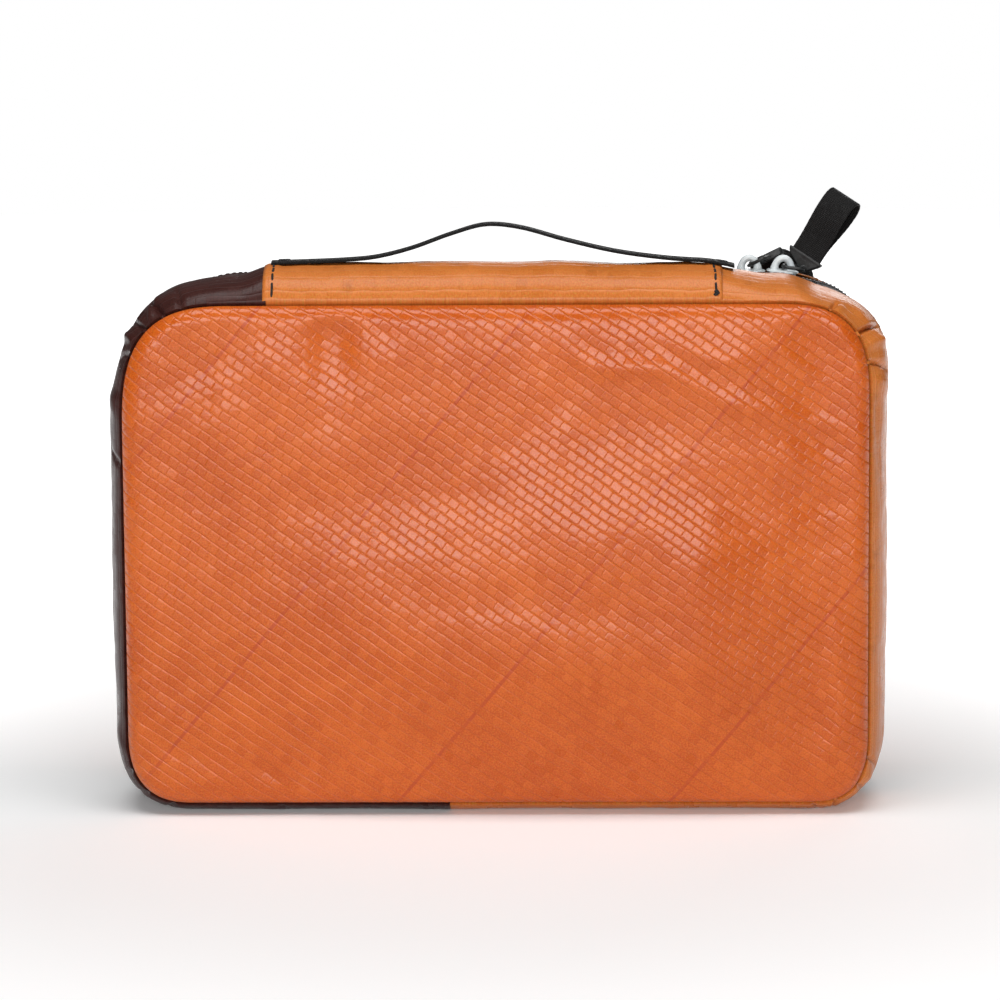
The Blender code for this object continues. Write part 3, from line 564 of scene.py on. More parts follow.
def tube_rings(bm, sections, marks=None, closed=False):
    """A closed solid through sections, each a ring of points."""
    layer = bm.loops.layers.uv.get("cloth") or bm.loops.layers.uv.new("cloth")
    rings = [[bm.verts.new(p) for p in section] for section in sections]
    size = len(rings[0])
    round_marks = [0.0]
    for k in range(size):
        a, b = sections[0][k], sections[0][(k + 1) % size]
        round_marks.append(round_marks[-1] + (Vector(a) - Vector(b)).length)
    if marks is None:
        marks = [0.0]
        for a, b in zip(sections, sections[1:]):
            marks.append(marks[-1] + (middle_of(a) - middle_of(b)).length)
        marks.append(marks[-1])
    total = len(rings)
    for r in range(total if closed else total - 1):
        a, b = rings[r], rings[(r + 1) % total]
        ends = (marks[r], marks[r + 1] if r + 1 < len(marks) else marks[r])
        for i in range(size):
            j = (i + 1) % size
            face = bm.faces.new((a[i], a[j], b[j], b[i]))
            spots = ((0, i), (0, i + 1), (1, i + 1), (1, i))
            for loop, (along, across) in zip(face.loops, spots):
                loop[layer].uv = (ends[along], round_marks[across])
    if not closed:
        bm.faces.new(rings[0][::-1])
        bm.faces.new(rings[-1])


STITCH_SINK, STITCH_RISE = 1.3, 0.55


def stitch_row(bm, path, start, end, length, space, radius, wander=0.0, seed=0.0):
    """Separate stitches along path(t), which gives a point and the way out of the cloth."""
    t, k, steps = start, 0, 7
    while t < end - 0.3 * length:
        stop = min(t + length, end)
        sections = []
        for i in range(steps):
            share = i / (steps - 1)
            spot, out = path(mixed(t, stop, share))
            ahead = (path(mixed(t, stop, share) + 1e-4)[0] - spot).normalized()
            side = ahead.cross(out).normalized()
            rise = radius * mixed(-STITCH_SINK, STITCH_RISE, smooth(min(share, 1 - share) * 4))
            drift = wander * noise.noise(Vector((seed + k * 1.7 + share, 3.1, 0.2)))
            centre = spot + out * rise + side * drift
            sections.append(ring_of(centre, side * radius, out * radius, 6))
        tube_rings(bm, sections)
        t, k = stop + space, k + 1


# ---- Cloth shapes -----------------------------------------------------------------------


def along_segment(point, a, b):
    """How far a point is from a segment, and where along it (0 to 1)."""
    ax, ay = b[0] - a[0], b[1] - a[1]
    size = ax * ax + ay * ay
    share = min(max(((point[0] - a[0]) * ax + (point[1] - a[1]) * ay) / size, 0.0), 1.0)
    return math.hypot(point[0] - a[0] - share * ax, point[1] - a[1] - share * ay), share


# Creases of the gusset: from and to (place, depth from the front seam), height, half width
CREASES = [
    # top right corner
    ((1.30, 0.0005), (1.34, 0.008), -0.0024, 0.0009),
    ((1.36, 0.002), (1.40, 0.012), 0.0010, 0.0022),
    ((1.60, 0.0000), (1.665, 0.026), -0.0052, 0.0011),
    ((1.71, 0.004), (1.74, 0.022), 0.0022, 0.0026),
    ((1.83, 0.0005), (1.90, 0.017), -0.0034, 0.0011),
    ((1.94, 0.004), (1.98, 0.018), 0.0012, 0.0028),
    ((1.50, 0.012), (1.30, 0.014), 0.0010, 0.0030),
    ((2.02, 0.003), (2.30, 0.006), -0.0009, 0.0020),
    # top left corner
    ((7.80, 0.000), (7.77, 0.014), -0.0018, 0.0012),
    ((7.68, 0.000), (7.60, 0.020), -0.0034, 0.0012),
    ((7.60, 0.003), (7.68, 0.020), 0.0016, 0.0020),
    ((7.52, 0.000), (7.47, 0.022), -0.0030, 0.0012),
    ((7.42, 0.004), (7.40, 0.020), 0.0020, 0.0026),
    ((7.33, 0.000), (7.27, 0.018), -0.0020, 0.0012),
    ((7.56, 0.011), (7.40, 0.013), -0.0014, 0.0010),
    ((7.08, 0.004), (7.12, 0.022), 0.0012, 0.0040),
    ((6.92, 0.001), (6.96, 0.018), -0.0012, 0.0016),
    # bottom right corner
    ((3.16, 0.000), (3.26, 0.010), -0.0026, 0.0010),
    ((3.34, 0.001), (3.40, 0.012), 0.0010, 0.0022),
    ((3.46, 0.000), (3.54, 0.012), -0.0020, 0.0010),
    ((3.78, 0.000), (3.90, 0.012), -0.0030, 0.0011),
    ((3.86, 0.001), (3.80, 0.008), 0.0010, 0.0020),
    ((3.99, 0.0005), (3.96, 0.010), -0.0014, 0.0010),
    # bottom left corner
    ((5.14, 0.000), (5.20, 0.012), -0.0014, 0.0012),
    ((5.42, 0.000), (5.50, 0.014), -0.0020, 0.0012),
    ((5.70, 0.000), (5.66, 0.012), -0.0014, 0.0012),
    ((4.86, 0.000), (4.84, 0.010), -0.0012, 0.0010),
    ((5.90, 0.001), (6.02, 0.012), 0.0009, 0.0030),
]
CREASES = [((arc_of(a[0]), a[1]), (arc_of(b[0]), b[1]), h, w) for a, b, h, w in CREASES]


def gusset_lift(arc, y):
    """Folds and dents of the tub's gusset, outward from its smooth surface."""
    deep = y - Y_FRONT
    lift = 0.0
    at = arc % ROUND
    for a, b, height, wide in CREASES:
        if min(a[0], b[0]) - 4 * wide < at < max(a[0], b[0]) + 4 * wide:
            off, share = along_segment((at, deep), a, b)
            strength = (1 - 0.75 * share * share) * min(0.35 + deep / 0.004, 1.0)
            lift += height * bell(off / wide) * strength
    turn = 2 * math.pi * at / ROUND
    ring = Vector((math.cos(turn), math.sin(turn), 0)) * (ROUND / (2 * math.pi))
    waves = noise.noise(Vector((ring.x, ring.y, deep * 0.6)) / 0.026)
    small = noise.noise(Vector((ring.x, ring.y, deep)) / 0.0085)
    pucker = noise.noise(Vector((ring.x, ring.y, 0.0)) / 0.0042)
    body = min(deep / 0.010, 1.0) * min(max(0.047 - deep, 0.0) / 0.012, 1.0)
    lift += body * (0.00075 * waves + 0.00028 * small)
    lift += 0.0004 * pucker * math.exp(-deep / 0.004) * min(deep / 0.001, 1.0)
    return lift


HEM_DRAW, HEM_DRAW_PLACE, HEM_DRAW_REACH = 0.0075, 1.32, 0.62


def hem_draw(place):
    """How far the tape's pull draws the tub's hem to the front, at the corner under the sliders."""
    return HEM_DRAW * smooth(1 - abs(place % 8 - HEM_DRAW_PLACE) / HEM_DRAW_REACH)


def above_floor(point):
    """The point, lifted clear of the floor where it is under it."""
    point.z = max(point.z, 0.0001)
    return point


# Rows of the gussets. Tucked rows: inset, depth behind the seam. Hem rows: y, drop below the surface.
TUB_TUCK = ((SEAM_ALLOWANCE, 0.0021), (0.0045, 0.0021), (0.0020, 0.0020), (0.0010, 0.0016), (0.0004, 0.0008))
TUB_DEPTHS = (0.0003, 0.0009, 0.0017, 0.0027, 0.004, 0.0055, 0.0075, 0.0095, 0.0115, 0.0135, 0.0155, 0.0175,
              0.0195, 0.0215, 0.024, 0.0265, 0.029, 0.0315, 0.034, 0.0365, 0.039, 0.041, 0.0424)
TUB_HEM = ((0.0060, 0.00008), (0.0062, 0.00034), (0.0059, 0.00062), (0.0040, 0.00068), (0.0005, 0.00070))
LID_HEM = ((0.0345, 0.0007), (0.0315, 0.0007), (0.0300, 0.00062), (0.0298, 0.00034), (0.0300, 0.00008))
LID_DEPTHS = (0.0306, 0.0314, 0.0322, 0.0330, 0.0338, 0.0346, 0.0353, 0.0359, 0.0363, 0.0366)
LID_TUCK = (0.0, 0.0015, 0.0045, SEAM_ALLOWANCE)
DRAW_START = 0.012


def tub_gusset(name, start, end, raised, finish, hems=()):
    """One piece of the deep gusset. hems: places where an end is folded under."""
    line = stations(start, end, 0.0016, 0.0007)
    rows, marks = [], []

    def tucked(inset, deep):
        lift = min(raised, 0.0002)
        y = Y_FRONT + deep
        rows.append([])
        for place, _ in line:
            x, z, out_x, out_z = outline(place, 0, inset)
            rows[-1].append(above_floor(Vector((x + out_x * lift, y, z + out_z * lift))))
        marks.append([(arc, y - inset) for _, arc in line])

    def lay(level, shaped, below=0.0):
        rows.append([])
        marks.append([])
        drawn = smooth((level - Y_FRONT - DRAW_START) / (Y_TUB_HEM - Y_FRONT - DRAW_START))
        for place, arc in line:
            y = level - hem_draw(place) * drawn
            lift = raised - below + (gusset_lift(arc, y) if shaped else 0.0)
            for hem, reach in hems:
                near = abs(arc - arc_of(hem))
                lift += 0.0005 * smooth((reach - near) / 0.0012) * (1 - math.exp(-near / 0.0005))
            spot = skin(place, y) + out_way(place, depth_shape(y)[0]) * lift
            rows[-1].append(above_floor(spot))
            marks[-1].append((arc, y))

    for inset, deep in TUB_TUCK:
        tucked(inset, deep)
    for deep in TUB_DEPTHS:
        lay(Y_FRONT + deep, True)
    for y, below in TUB_HEM:
        lay(y, False, below)
    bm = bmesh.new()
    lattice(bm, rows, marks)
    return cloth(name, bm, finish)


def lid_gusset(name, start, end, finish):
    """One piece of the shallow gusset, from its hem at the zip to the back seam."""
    line = stations(start, end, 0.002)
    rows, marks = [], []
    for y, below in LID_HEM + tuple((y, 0.0) for y in LID_DEPTHS):
        rows.append([])
        for place, _ in line:
            spot = skin(place, y)
            wave = 0.00022 * noise.noise(spot / 0.012) if 0.0305 < y < 0.0362 else 0.0
            rows[-1].append(above_floor(spot + out_way(place, depth_shape(y)[0]) * (wave - below)))
        marks.append([(arc, y) for _, arc in line])
    for inset in LID_TUCK:
        y = Y_BACK - GAP
        corners = (outline(place, 0, inset) for place, _ in line)
        rows.append([above_floor(Vector((x, y, z))) for x, z, _, _ in corners])
        marks.append([(arc, y + inset) for _, arc in line])
    bm = bmesh.new()
    lattice(bm, rows, marks)
    return cloth(name, bm, finish)


def drop(off):
    """A soft step: nothing well below, one well above, most of it within 1 either way."""
    return 0.5 * (1 + math.erf(off))


def panel_height(x, z, inset, shape):
    """How far a domed panel stands out from its seam at a point."""
    edge = PANEL_EDGE * (1 - math.exp(-inset / PANEL_EDGE_LENGTH))
    across, up = abs(x) / PANEL_HALF_LENGTH, abs(z - PANEL_MIDDLE) / PANEL_HALF_HEIGHT
    crown = PANEL_CROWN * (max(1 - across**2.6, 0.0) * max(1 - up**2.4, 0.0)) ** 0.8
    rise = edge + crown
    held, closed = smooth(inset / 0.014), smooth(z / 0.075) * smooth((0.165 - abs(x)) / 0.045)
    for px, pz, slant, long, wide, height, dent in shape["slopes"]:
        up = (z - pz - (x - px) * math.tan(math.radians(slant))) / wide
        step = held * height * bell((x - px) / long)
        rise += -step * drop(up) if dent else closed * step * drop(-up)
    for px, pz, angle, long, wide, height in shape["puffs"]:
        c, s = math.cos(math.radians(angle)), math.sin(math.radians(angle))
        a, b = (x - px) * c + (z - pz) * s, (z - pz) * c - (x - px) * s
        rise += held * height * bell(a / long) * bell(b / wide)
    for points, height, wide in shape["folds"]:
        off, at = 1.0, 0.5
        for k in range(len(points) - 1):
            d, share = along_segment((x, z), points[k], points[k + 1])
            if d < off:
                off, at = d, (k + share) / (len(points) - 1)
        if off < 4 * wide:
            ends = math.sin(math.pi * min(max(at, 0.04), 0.96)) ** 0.5
            rise += min(inset / 0.004, 1.0) * height * bell(off / wide) * ends
    rise += held * 0.00045 * noise.noise(Vector((x, 0, z)) / 0.019)
    near = math.exp(-inset / 0.006) * min(inset / 0.0015, 1.0)
    rise += near * 0.00042 * noise.noise(Vector((x, 5.0, z)) / 0.0050)
    broad = math.exp(-inset / 0.014) * min(inset / 0.003, 1.0)
    rise += broad * 0.0012 * noise.noise(Vector((x, 9.0, z)) / 0.016)
    most = shape["most"]
    if shape["low"]:
        most = min(most, FLOOR_MOST + FLOOR_SLOPE * max(z - SEAM["bottom"], 0.0))
    soft = 0.25 * most
    if rise > most - soft:
        rise = most - soft * math.exp(-(rise - most + soft) / soft)
    return rise


def panel(name, seam_y, way, finish, shape):
    """A domed cover: rings of points from under the seam to the middle."""
    line = stations(0, 8, 0.0021)[:-1]
    insets = [0.0003, 0.0006, 0.0010, 0.0015, 0.0021, 0.0028, 0.0037, 0.0048, 0.0061, 0.0076, 0.0093]
    while insets[-1] < 0.100:
        insets.append(insets[-1] + 0.0019)

    def domed(x, z, inset):
        return Vector((x, seam_y + way * (GAP + panel_height(x, z, inset, shape)), z))

    rows = []
    for inset, deep in ((0.0052, 0.0012), (0.0024, 0.0012), (0.0014, 0.0010), (0.0010, 0.0004)):
        corners = (outline(place, 0, inset) for place, _ in line)
        rows.append([Vector((x, seam_y - way * deep, z)) for x, z, _, _ in corners])
    for inset in insets:
        drawn = inset + 0.0008 * math.exp(-inset / 0.004)
        rows.append([domed(*outline(place, 0, drawn)[:2], inset) for place, _ in line])
    last, depth = rows[-1], insets[-1]
    low, high = min(p.z for p in last), max(p.z for p in last)
    left, right = min(p.x for p in last), max(p.x for p in last)
    middle, centre, half = (low + high) / 2, (left + right) / 2, (right - left) / 2
    for keep in (0.84, 0.68, 0.52, 0.36, 0.20, 0.05):
        pull = 1 - (1 - keep) * (high - low) / 2 / half
        spots = ((mixed(centre, p.x, pull), mixed(middle, p.z, keep)) for p in last)
        rows.append([domed(x, z, depth) for x, z in spots])
    marks = [[(p.x, p.z) for p in row] for row in rows]
    bm = bmesh.new()
    verts = lattice(bm, rows, marks, closed=True)
    layer = bm.loops.layers.uv["cloth"]
    for loop in bm.faces.new(verts[-1]).loops:
        loop[layer].uv = (loop.vert.co.x, loop.vert.co.z)
    return cloth(name, bm, finish)


# Slopes: middle x and z, slant, half length, half width, height, and True for a dent above or False for a
# rise below. Puffs: middle x and z, slant, half length, half width, height. Folds: points, height, half
# width. most: the greatest height. low: whether the cover stays flat near the floor.
FRONT = {
    "most": 0.0215,
    "low": False,
    "slopes": [
        (-0.036, 0.128, 6, 0.062, 0.021, 0.0062, False),
        (0.045, 0.150, -12, 0.052, 0.027, 0.0066, False),
        (0.098, 0.130, -25, 0.028, 0.028, 0.0056, False),
        (0.012, 0.090, -6, 0.075, 0.010, 0.0029, False),
        (-0.073, 0.196, 0, 0.0115, 0.020, 0.0040, True),
        (-0.049, 0.214, 0, 0.0050, 0.010, 0.0014, True),
        (-0.122, 0.203, 24, 0.028, 0.007, 0.0014, True),
        (-0.128, 0.182, 30, 0.022, 0.006, 0.0008, True),
        (0.060, 0.222, -8, 0.045, 0.006, 0.0010, True),
        (0.140, 0.166, -10, 0.018, 0.005, 0.0014, True),
        (0.146, 0.138, 4, 0.016, 0.004, 0.0010, True),
        (0.148, 0.121, 4, 0.015, 0.004, 0.0009, True),
        (-0.135, 0.138, 10, 0.010, 0.006, 0.0006, True),
    ],
    "puffs": [
        (0.152, 0.078, 86, 0.012, 0.005, 0.0012),
        (0.154, 0.056, 80, 0.010, 0.005, 0.0014),
        (0.150, 0.034, 60, 0.014, 0.006, 0.0014),
        (-0.120, 0.075, 60, 0.050, 0.028, 0.0008),
        (-0.105, 0.020, -15, 0.030, 0.008, -0.0009),
        (-0.150, 0.046, -35, 0.016, 0.006, 0.0010),
    ],
    "folds": [
        (((0.026, 0.224), (0.032, 0.212), (0.044, 0.204), (0.074, 0.204), (0.101, 0.189), (0.128, 0.181),
          (0.160, 0.174)), 0.0011, 0.0040),
        (((0.074, 0.218), (0.094, 0.208), (0.112, 0.206)), 0.0007, 0.0034),
        (((0.112, 0.224), (0.130, 0.208), (0.144, 0.196)), 0.0006, 0.0034),
        (((-0.118, 0.026), (-0.098, 0.019), (-0.086, 0.010)), -0.0009, 0.0030),
        (((-0.052, 0.012), (-0.040, 0.018), (-0.034, 0.010)), -0.0007, 0.0026),
        (((-0.156, 0.040), (-0.146, 0.030), (-0.132, 0.026)), -0.0008, 0.0030),
    ],
}
BACK = {
    "most": 0.0150,
    "low": True,
    "slopes": [
        (0.040, 0.140, -5, 0.070, 0.026, 0.0040, False),
        (-0.060, 0.120, 14, 0.050, 0.024, 0.0030, False),
        (0.064, 0.205, 0, 0.012, 0.020, 0.0028, True),
        (-0.112, 0.196, -20, 0.030, 0.008, 0.0012, True),
    ],
    "puffs": [(-0.030, 0.070, 24, 0.085, 0.036, 0.0014), (0.015, 0.160, 10, 0.050, 0.016, -0.0010)],
    "folds": [
        (((-0.150, 0.160), (-0.118, 0.168), (-0.080, 0.182), (-0.050, 0.200)), 0.0011, 0.0040),
        (((0.100, 0.020), (0.088, 0.030), (0.070, 0.044)), -0.0009, 0.0036),
    ],
}

TOP_RAISE, HEM_REACH, JOIN_GAP, LID_JOIN_GAP = 0.0005, 0.0075, 0.0006, 0.002
left_end, right_end = top_place(TOP_PIECE[0]), top_place(TOP_PIECE[1])
join = bottom_place(BOTTOM_JOIN)
tuck = 0.0016 / (TOP_RIGHT["x"] - TOP_LEFT["x"])
zip_start, zip_end = bottom_place(-ZIP_END), 8 + bottom_place(ZIP_END)

settle(panel("front_cover", Y_FRONT, -1, ORANGE, FRONT), "tub", "front_panel")
settle(panel("lid_cover", Y_BACK, 1, ORANGE, BACK), "lid", "lid_panel")
top_hems = ((left_end, HEM_REACH), (right_end, HEM_REACH))
for name, start, end, raised, finish, slot, node, hems in (
    ("top_strip", left_end, right_end, TOP_RAISE, STRIP, "orange_strip", "gusset_top", top_hems),
    ("right_strip", right_end - tuck, join, 0.0, STRIP, "orange_strip", "gusset_right", ()),
    ("left_strip", join + JOIN_GAP, 8 + left_end + tuck, 0.0, BROWN, "brown_strip", "gusset_left", ()),
):
    settle(tub_gusset(name, start, end, raised, finish, hems), "tub", node)
for name, start, end, finish, slot, node in (
    ("lid_left_strip", zip_start, 8 + left_end - LID_JOIN_GAP, BROWN, "brown_strip", "lid_gusset_left"),
    ("lid_right_strip", 8 + left_end, zip_end, STRIP, "orange_strip", "lid_gusset_right"),
):
    settle(lid_gusset(name, start, end, finish), "lid", node)


def hinge():
    """The cloth that joins the lid to the tub along the underside."""
    half = ZIP_END - 0.0033
    line = stations(bottom_place(half), bottom_place(-half), 0.002)
    depths = (Y_TUB_HEM + GAP, 0.0085, 0.0120, 0.0165, 0.021, 0.0255,
              Y_LID_HEM, 0.0315, 0.0330, 0.0345, 0.0356, 0.0364)

    def spot(place, arc, y):
        wave = 0.0002 * (1 + noise.noise(Vector((arc, y, 0)) / 0.011))
        return skin(place, y) + Vector((0, 0, 0.0001 + wave))

    bm = bmesh.new()
    rows = [[spot(place, arc, y) for place, arc in line] for y in depths]
    lattice(bm, rows, [[(arc, y) for _, arc in line] for y in depths])
    return cloth("hinge_cloth", bm, STRIP, 0.0008)


settle(hinge(), "tub", "hinge_strip")


def tub_hem(place, y):
    """A depth at the tub's hem, drawn to the front with it."""
    return y - hem_draw(place)


def seam_binding(name, seam_y, way):
    """The folded tape that binds a seam inside."""
    line = stations(0, 8, 0.004)[:-1]
    outer, inner, lip = SEAM_ALLOWANCE + 0.0011, SEAM_ALLOWANCE + GAP, 0.003
    front, back = -0.0008, SKIN + MIDDLE_RAISE + 3 * GAP + 0.0008
    soft, thick = 0.0004, 0.0007
    ring = ((lip, front), (outer - soft, front), (outer, front + soft), (outer, back - soft),
            (outer - soft, back), (lip, back), (lip, back - thick), (inner, back - thick),
            (inner, front + thick), (lip, front + thick))
    sections = []
    for place, _ in line:
        corners = ((outline(place, 0, inset), seam_y + way * deep) for inset, deep in ring)
        sections.append([Vector((x, y, z)) for (x, z, _, _), y in corners])
    bm = bmesh.new()
    tube_rings(bm, sections, marks=[a for _, a in line] + [ROUND], closed=True)
    return made_solid(name, bm, BINDING, 50)


settle(seam_binding("front_binding", Y_FRONT, 1), "tub", "front_seam_binding")
settle(seam_binding("lid_binding", Y_BACK, -1), "lid", "lid_seam_binding")

# ---- Zip --------------------------------------------------------------------------------


HEMS = {"tub": Y_TUB_HEM, "lid": Y_LID_HEM}


def tape(side, way):
    """A strip that follows the box from its hem to the coil."""
    edge = HEMS[side]
    hem = edge + way * TAPE_OVERLAP
    middle = Y_ZIP_FLAT if side == "tub" else (Y_ZIP + Y_LID_HEM) / 2
    near = Y_ZIP + way * (COIL_SPACE / 2 + COIL_WIDTH - 0.0006)
    steps = [(near, COIL_TAPE_DEPTH), (mixed(near, middle, 0.5), COIL_TAPE_DEPTH - 0.0001),
             (middle, COIL_TAPE_DEPTH), (edge, TAPE_DEPTH - 0.0001), (hem, TAPE_DEPTH)]
    ring = steps + [(y, deep + TAPE) for y, deep in reversed(steps)]
    step = 0.003
    line = stations(zip_start, zip_end, step)
    sections = []
    for place, _ in line:
        drawn = ((tub_hem(place, y) if y < Y_TUB_HEM + 0.0001 else y, deep) for y, deep in ring)
        sections.append([skin(place, y, deep) for y, deep in drawn])
    bm = bmesh.new()
    tube_rings(bm, sections, marks=[arc for _, arc in line] + [line[-1][1] + step])
    settle(made_solid(f"{side}_tape", bm, TAPE_BLACK, 50), side, f"{side}_zip_tape")


# A tooth: distance across, half width and half height
TOOTH = ((0.0, 0.00050, 0.00105), (0.0004, 0.00060, 0.00118), (0.0016, 0.00058, 0.00120),
         (0.0024, 0.00066, 0.00112), (0.0029, 0.00074, 0.00095), (0.0033, 0.00050, 0.00060))
TOOTH_PITCH = 0.00165


def teeth(side, way):
    """Coil loops: each one runs in from the tape and ends in a head past the middle."""
    bm = bmesh.new()
    first, last = arc_of(zip_start) + 0.0045, arc_of(zip_end) - 0.0045
    half_pitch = 0.5 if side == "lid" else 0.0
    depth, edge = 0.0001 + COIL_THICKNESS / 2, way * (COIL_SPACE / 2 + COIL_WIDTH)
    for k in range(int((last - first) / TOOTH_PITCH)):
        arc = first + (k + half_pitch) * TOOTH_PITCH
        ahead = (skin(place_of(arc + 0.001), Y_ZIP) - skin(place_of(arc - 0.001), Y_ZIP)).normalized()
        place = place_of(arc)
        out = out_way(place)
        origin = skin(place, Y_ZIP) + Vector((0, edge, 0)) - out * depth
        tube_rings(bm, [ring_of(origin - Vector((0, way * across, 0)), ahead * wide, out * tall, 8, 0.5)
                        for across, wide, tall in TOOTH])
    cord = []
    for place, _ in stations(place_of(first - 0.002), place_of(last + 0.002), 0.003):
        out = out_way(place)
        spot = skin(place, Y_ZIP + edge - way * 0.0005) - out * depth
        cord.append(ring_of(spot, Vector((0, 0.00045, 0)), out * 0.00075, 6))
    tube_rings(bm, cord)
    settle(made_solid(f"{side}_teeth", bm, COIL, 50), side, f"{side}_zip_coil")


def zip_stitches(side, way):
    """Two rows of thread that hold the tape: one shows outside, one inside."""
    bm = bmesh.new()
    row = HEMS[side] + way * 0.0019
    first, last = arc_of(zip_start) + 0.004, arc_of(zip_end) - 0.004

    def row_y(place):
        return tub_hem(place, row) if side == "tub" else row

    def outside(arc):
        place = place_of(arc)
        out = out_way(place)
        on_top = side == "tub" and 8 + left_end < place < 8 + right_end
        spot = skin(place, row_y(place)) + out * (0.0009 if on_top else 0.0)
        spot.z = max(spot.z, 0.0004)
        return spot, out

    def inside(arc):
        place = place_of(arc)
        return skin(place, row_y(place), TAPE_DEPTH + TAPE), -out_way(place)

    for path, wander in ((outside, 0.00015), (inside, 0.00010)):
        stitch_row(bm, path, first, last, 0.0029, 0.0006, 0.00026, wander)
    settle(made_solid(f"{side}_zip_thread", bm, THREAD_BLACK), side, f"{side}_zip_stitching")


for side, way in (("tub", -1), ("lid", 1)):
    tape(side, way)
    teeth(side, way)
    zip_stitches(side, way)


def hinge_thread():
    """The stitches that hold the hinge cloth to the lid's side."""
    bm = bmesh.new()
    half = ZIP_END - 0.0053
    first, last = arc_of(bottom_place(half)), arc_of(bottom_place(-half))

    def path(arc):
        return skin(place_of(arc), Y_LID_HEM - 0.0017, SKIN + 0.0002), Vector((0, 0, 1))

    stitch_row(bm, path, first, last, 0.003, 0.0007, 0.00030)
    settle(made_solid("hinge_thread", bm, THREAD_BLACK), "tub", "hinge_stitching")


hinge_thread()
for side in ("left", "right"):
    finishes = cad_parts[f"zip_stop_{side}"].data.materials
    finishes.clear()
    finishes.append(MOULDED)

# ---- Sliders ----------------------------------------------------------------------------


def slider_frame(name):
    """Where a slider is, and how it is turned."""
    if name == "a":
        return Vector((SLIDER_A_X, Y_ZIP, ZIP["top"])), Matrix.Identity(3)
    centre = Vector((TOP_RIGHT["x"], Y_ZIP, TOP_RIGHT["z"]))
    turn = Matrix.Rotation(SLIDER_B_ANGLE, 3, "Y")
    return centre + turn @ Vector((0, 0, ZIP["top"] - TOP_RIGHT["z"])), turn


def slider_levels():
    """Heights of the slider's plates over its path: underside, channel floor, channel roof, top."""
    middle = -0.0001 - COIL_THICKNESS / 2
    low, high = middle - SLIDER_CHANNEL / 2, middle + SLIDER_CHANNEL / 2
    return low - SLIDER_PLATE, low, high, high + SLIDER_PLATE


def plate(bm, low, high, crown, lips):
    """A rounded slider plate with soft edges; lips turn down (or up) at its long sides."""
    half_x, half_y, roundness = SLIDER_LENGTH / 2, SLIDER_WIDTH / 2, 0.62
    spots = []
    for n in range(48):
        w = 2 * math.pi * n / 48
        c, s = math.cos(w), math.sin(w)
        nose = 0.80 + 0.20 * smooth((0.9 - c) / 1.2) if c > 0 else 1.0
        x, y = math.copysign(abs(c) ** roundness, c), math.copysign(abs(s) ** roundness, s)
        spots.append((half_x * x, nose * half_y * y))
    edge = 0.00035
    layers = [(low, 1 - edge / half_y), (low + edge, 1.0), (high - edge, 1.0)]
    layers += [(high, 1 - 1.2 * edge / half_y), (high + crown * 0.6, 0.72), (high + crown, 0.40)]
    sections = [[Vector((x * k, y * k, z)) for x, y in spots] for z, k in layers]
    tube_rings(bm, sections)
    for side in (-1, 1):
        ring_row = []
        for n in range(13):
            x = mixed(-0.80, 0.62, n / 12) * half_x
            y0 = half_y * 0.985 - 0.0012 * smooth((x - 0.25 * half_x) / half_x)
            y1 = y0 - 0.0011
            root, tip = (low + 0.0002, low - lips) if lips > 0 else (high - 0.0002, high - lips)
            mid = (root + tip) / 2
            corners = ((y1, root), (y0, root), (y0, mid), (y0 - 0.00025, tip), (y1 + 0.0002, tip), (y1, mid))
            ring_row.append([Vector((x, side * y, z)) for y, z in corners])
        tube_rings(bm, ring_row)


def arch(bm):
    """The slider's rounded bridge, which holds the ring."""
    roof = slider_levels()[3]
    centre_radius, squash, bar, wide = 0.0038, 1.36, 0.00158, 0.00175
    sections = []
    for n in range(27):
        w = min(max(math.pi * (n - 1) / 24, 0.0), math.pi)
        x, z = centre_radius * math.cos(w), squash * centre_radius * math.sin(w)
        out = Vector((math.cos(w), 0, math.sin(w) / squash)).normalized()
        if n in (0, 26):
            z, out = -0.0009, Vector((math.cos(w), 0, 0))
        foot = 1 + 0.25 * (1 - smooth(abs(math.sin(w)) * 2.0))
        sections.append(ring_of(Vector((x, 0, roof + z)), out * bar * foot, Vector((0, wide * foot, 0)), 14))
    tube_rings(bm, sections)


def slider(name):
    """Two plates, the post between them and the bridge."""
    origin, turn = slider_frame(name)
    floor, low, high, roof = slider_levels()
    bm = bmesh.new()
    plate(bm, high, roof - 0.0003, 0.0003, 0.0009)
    plate(bm, floor + 0.0003, low, 0.0, -0.0009)
    post, post_x, post_long, post_wide = [], 0.0045, 0.0016, 0.00042
    for z in (low - 0.0003, low + 0.0003, high - 0.0003, high + 0.0003):
        half_wide = post_wide if low < z < high else 1.6 * post_wide
        post.append(ring_of(Vector((post_x, 0, z)), Vector((post_long, 0, 0)), Vector((0, half_wide, 0)), 12))
    tube_rings(bm, post)
    arch(bm)
    bmesh.ops.transform(bm, matrix=Matrix.Translation(origin) @ turn.to_4x4(), verts=bm.verts[:])
    settle(made_solid(f"slider_{name}_body", bm, WHITE, 50), f"slider_{name}", f"slider_{name}")


# ---- Pulls ------------------------------------------------------------------------------

# The ring's way and cross way, where its wire sits on the bridge, and the pull's bar, rise, bend and shift
PULLS = {
    "a": {"way": Vector((0.33, 0.94, 0.0)), "side": Vector((0.84, -0.30, 0.45)),
          "held": (0.0030, -RING_WIDTH / 2),
          "bar": Vector((0.84, -0.30, 0.45)), "rise": Vector((0.33, 0.94, 0.0)),
          "bend": math.radians(36), "shift": 0.0005},
    "b": {"way": Vector((0.99, 0, -0.14)), "side": Vector((0, 1, 0)), "held": (0.0, 0.0),
          "bar": Vector((0.78, -0.40, -0.48)), "rise": Vector((0.543, 0.05, 0.84)),
          "bend": math.radians(6), "shift": -0.0023},
}
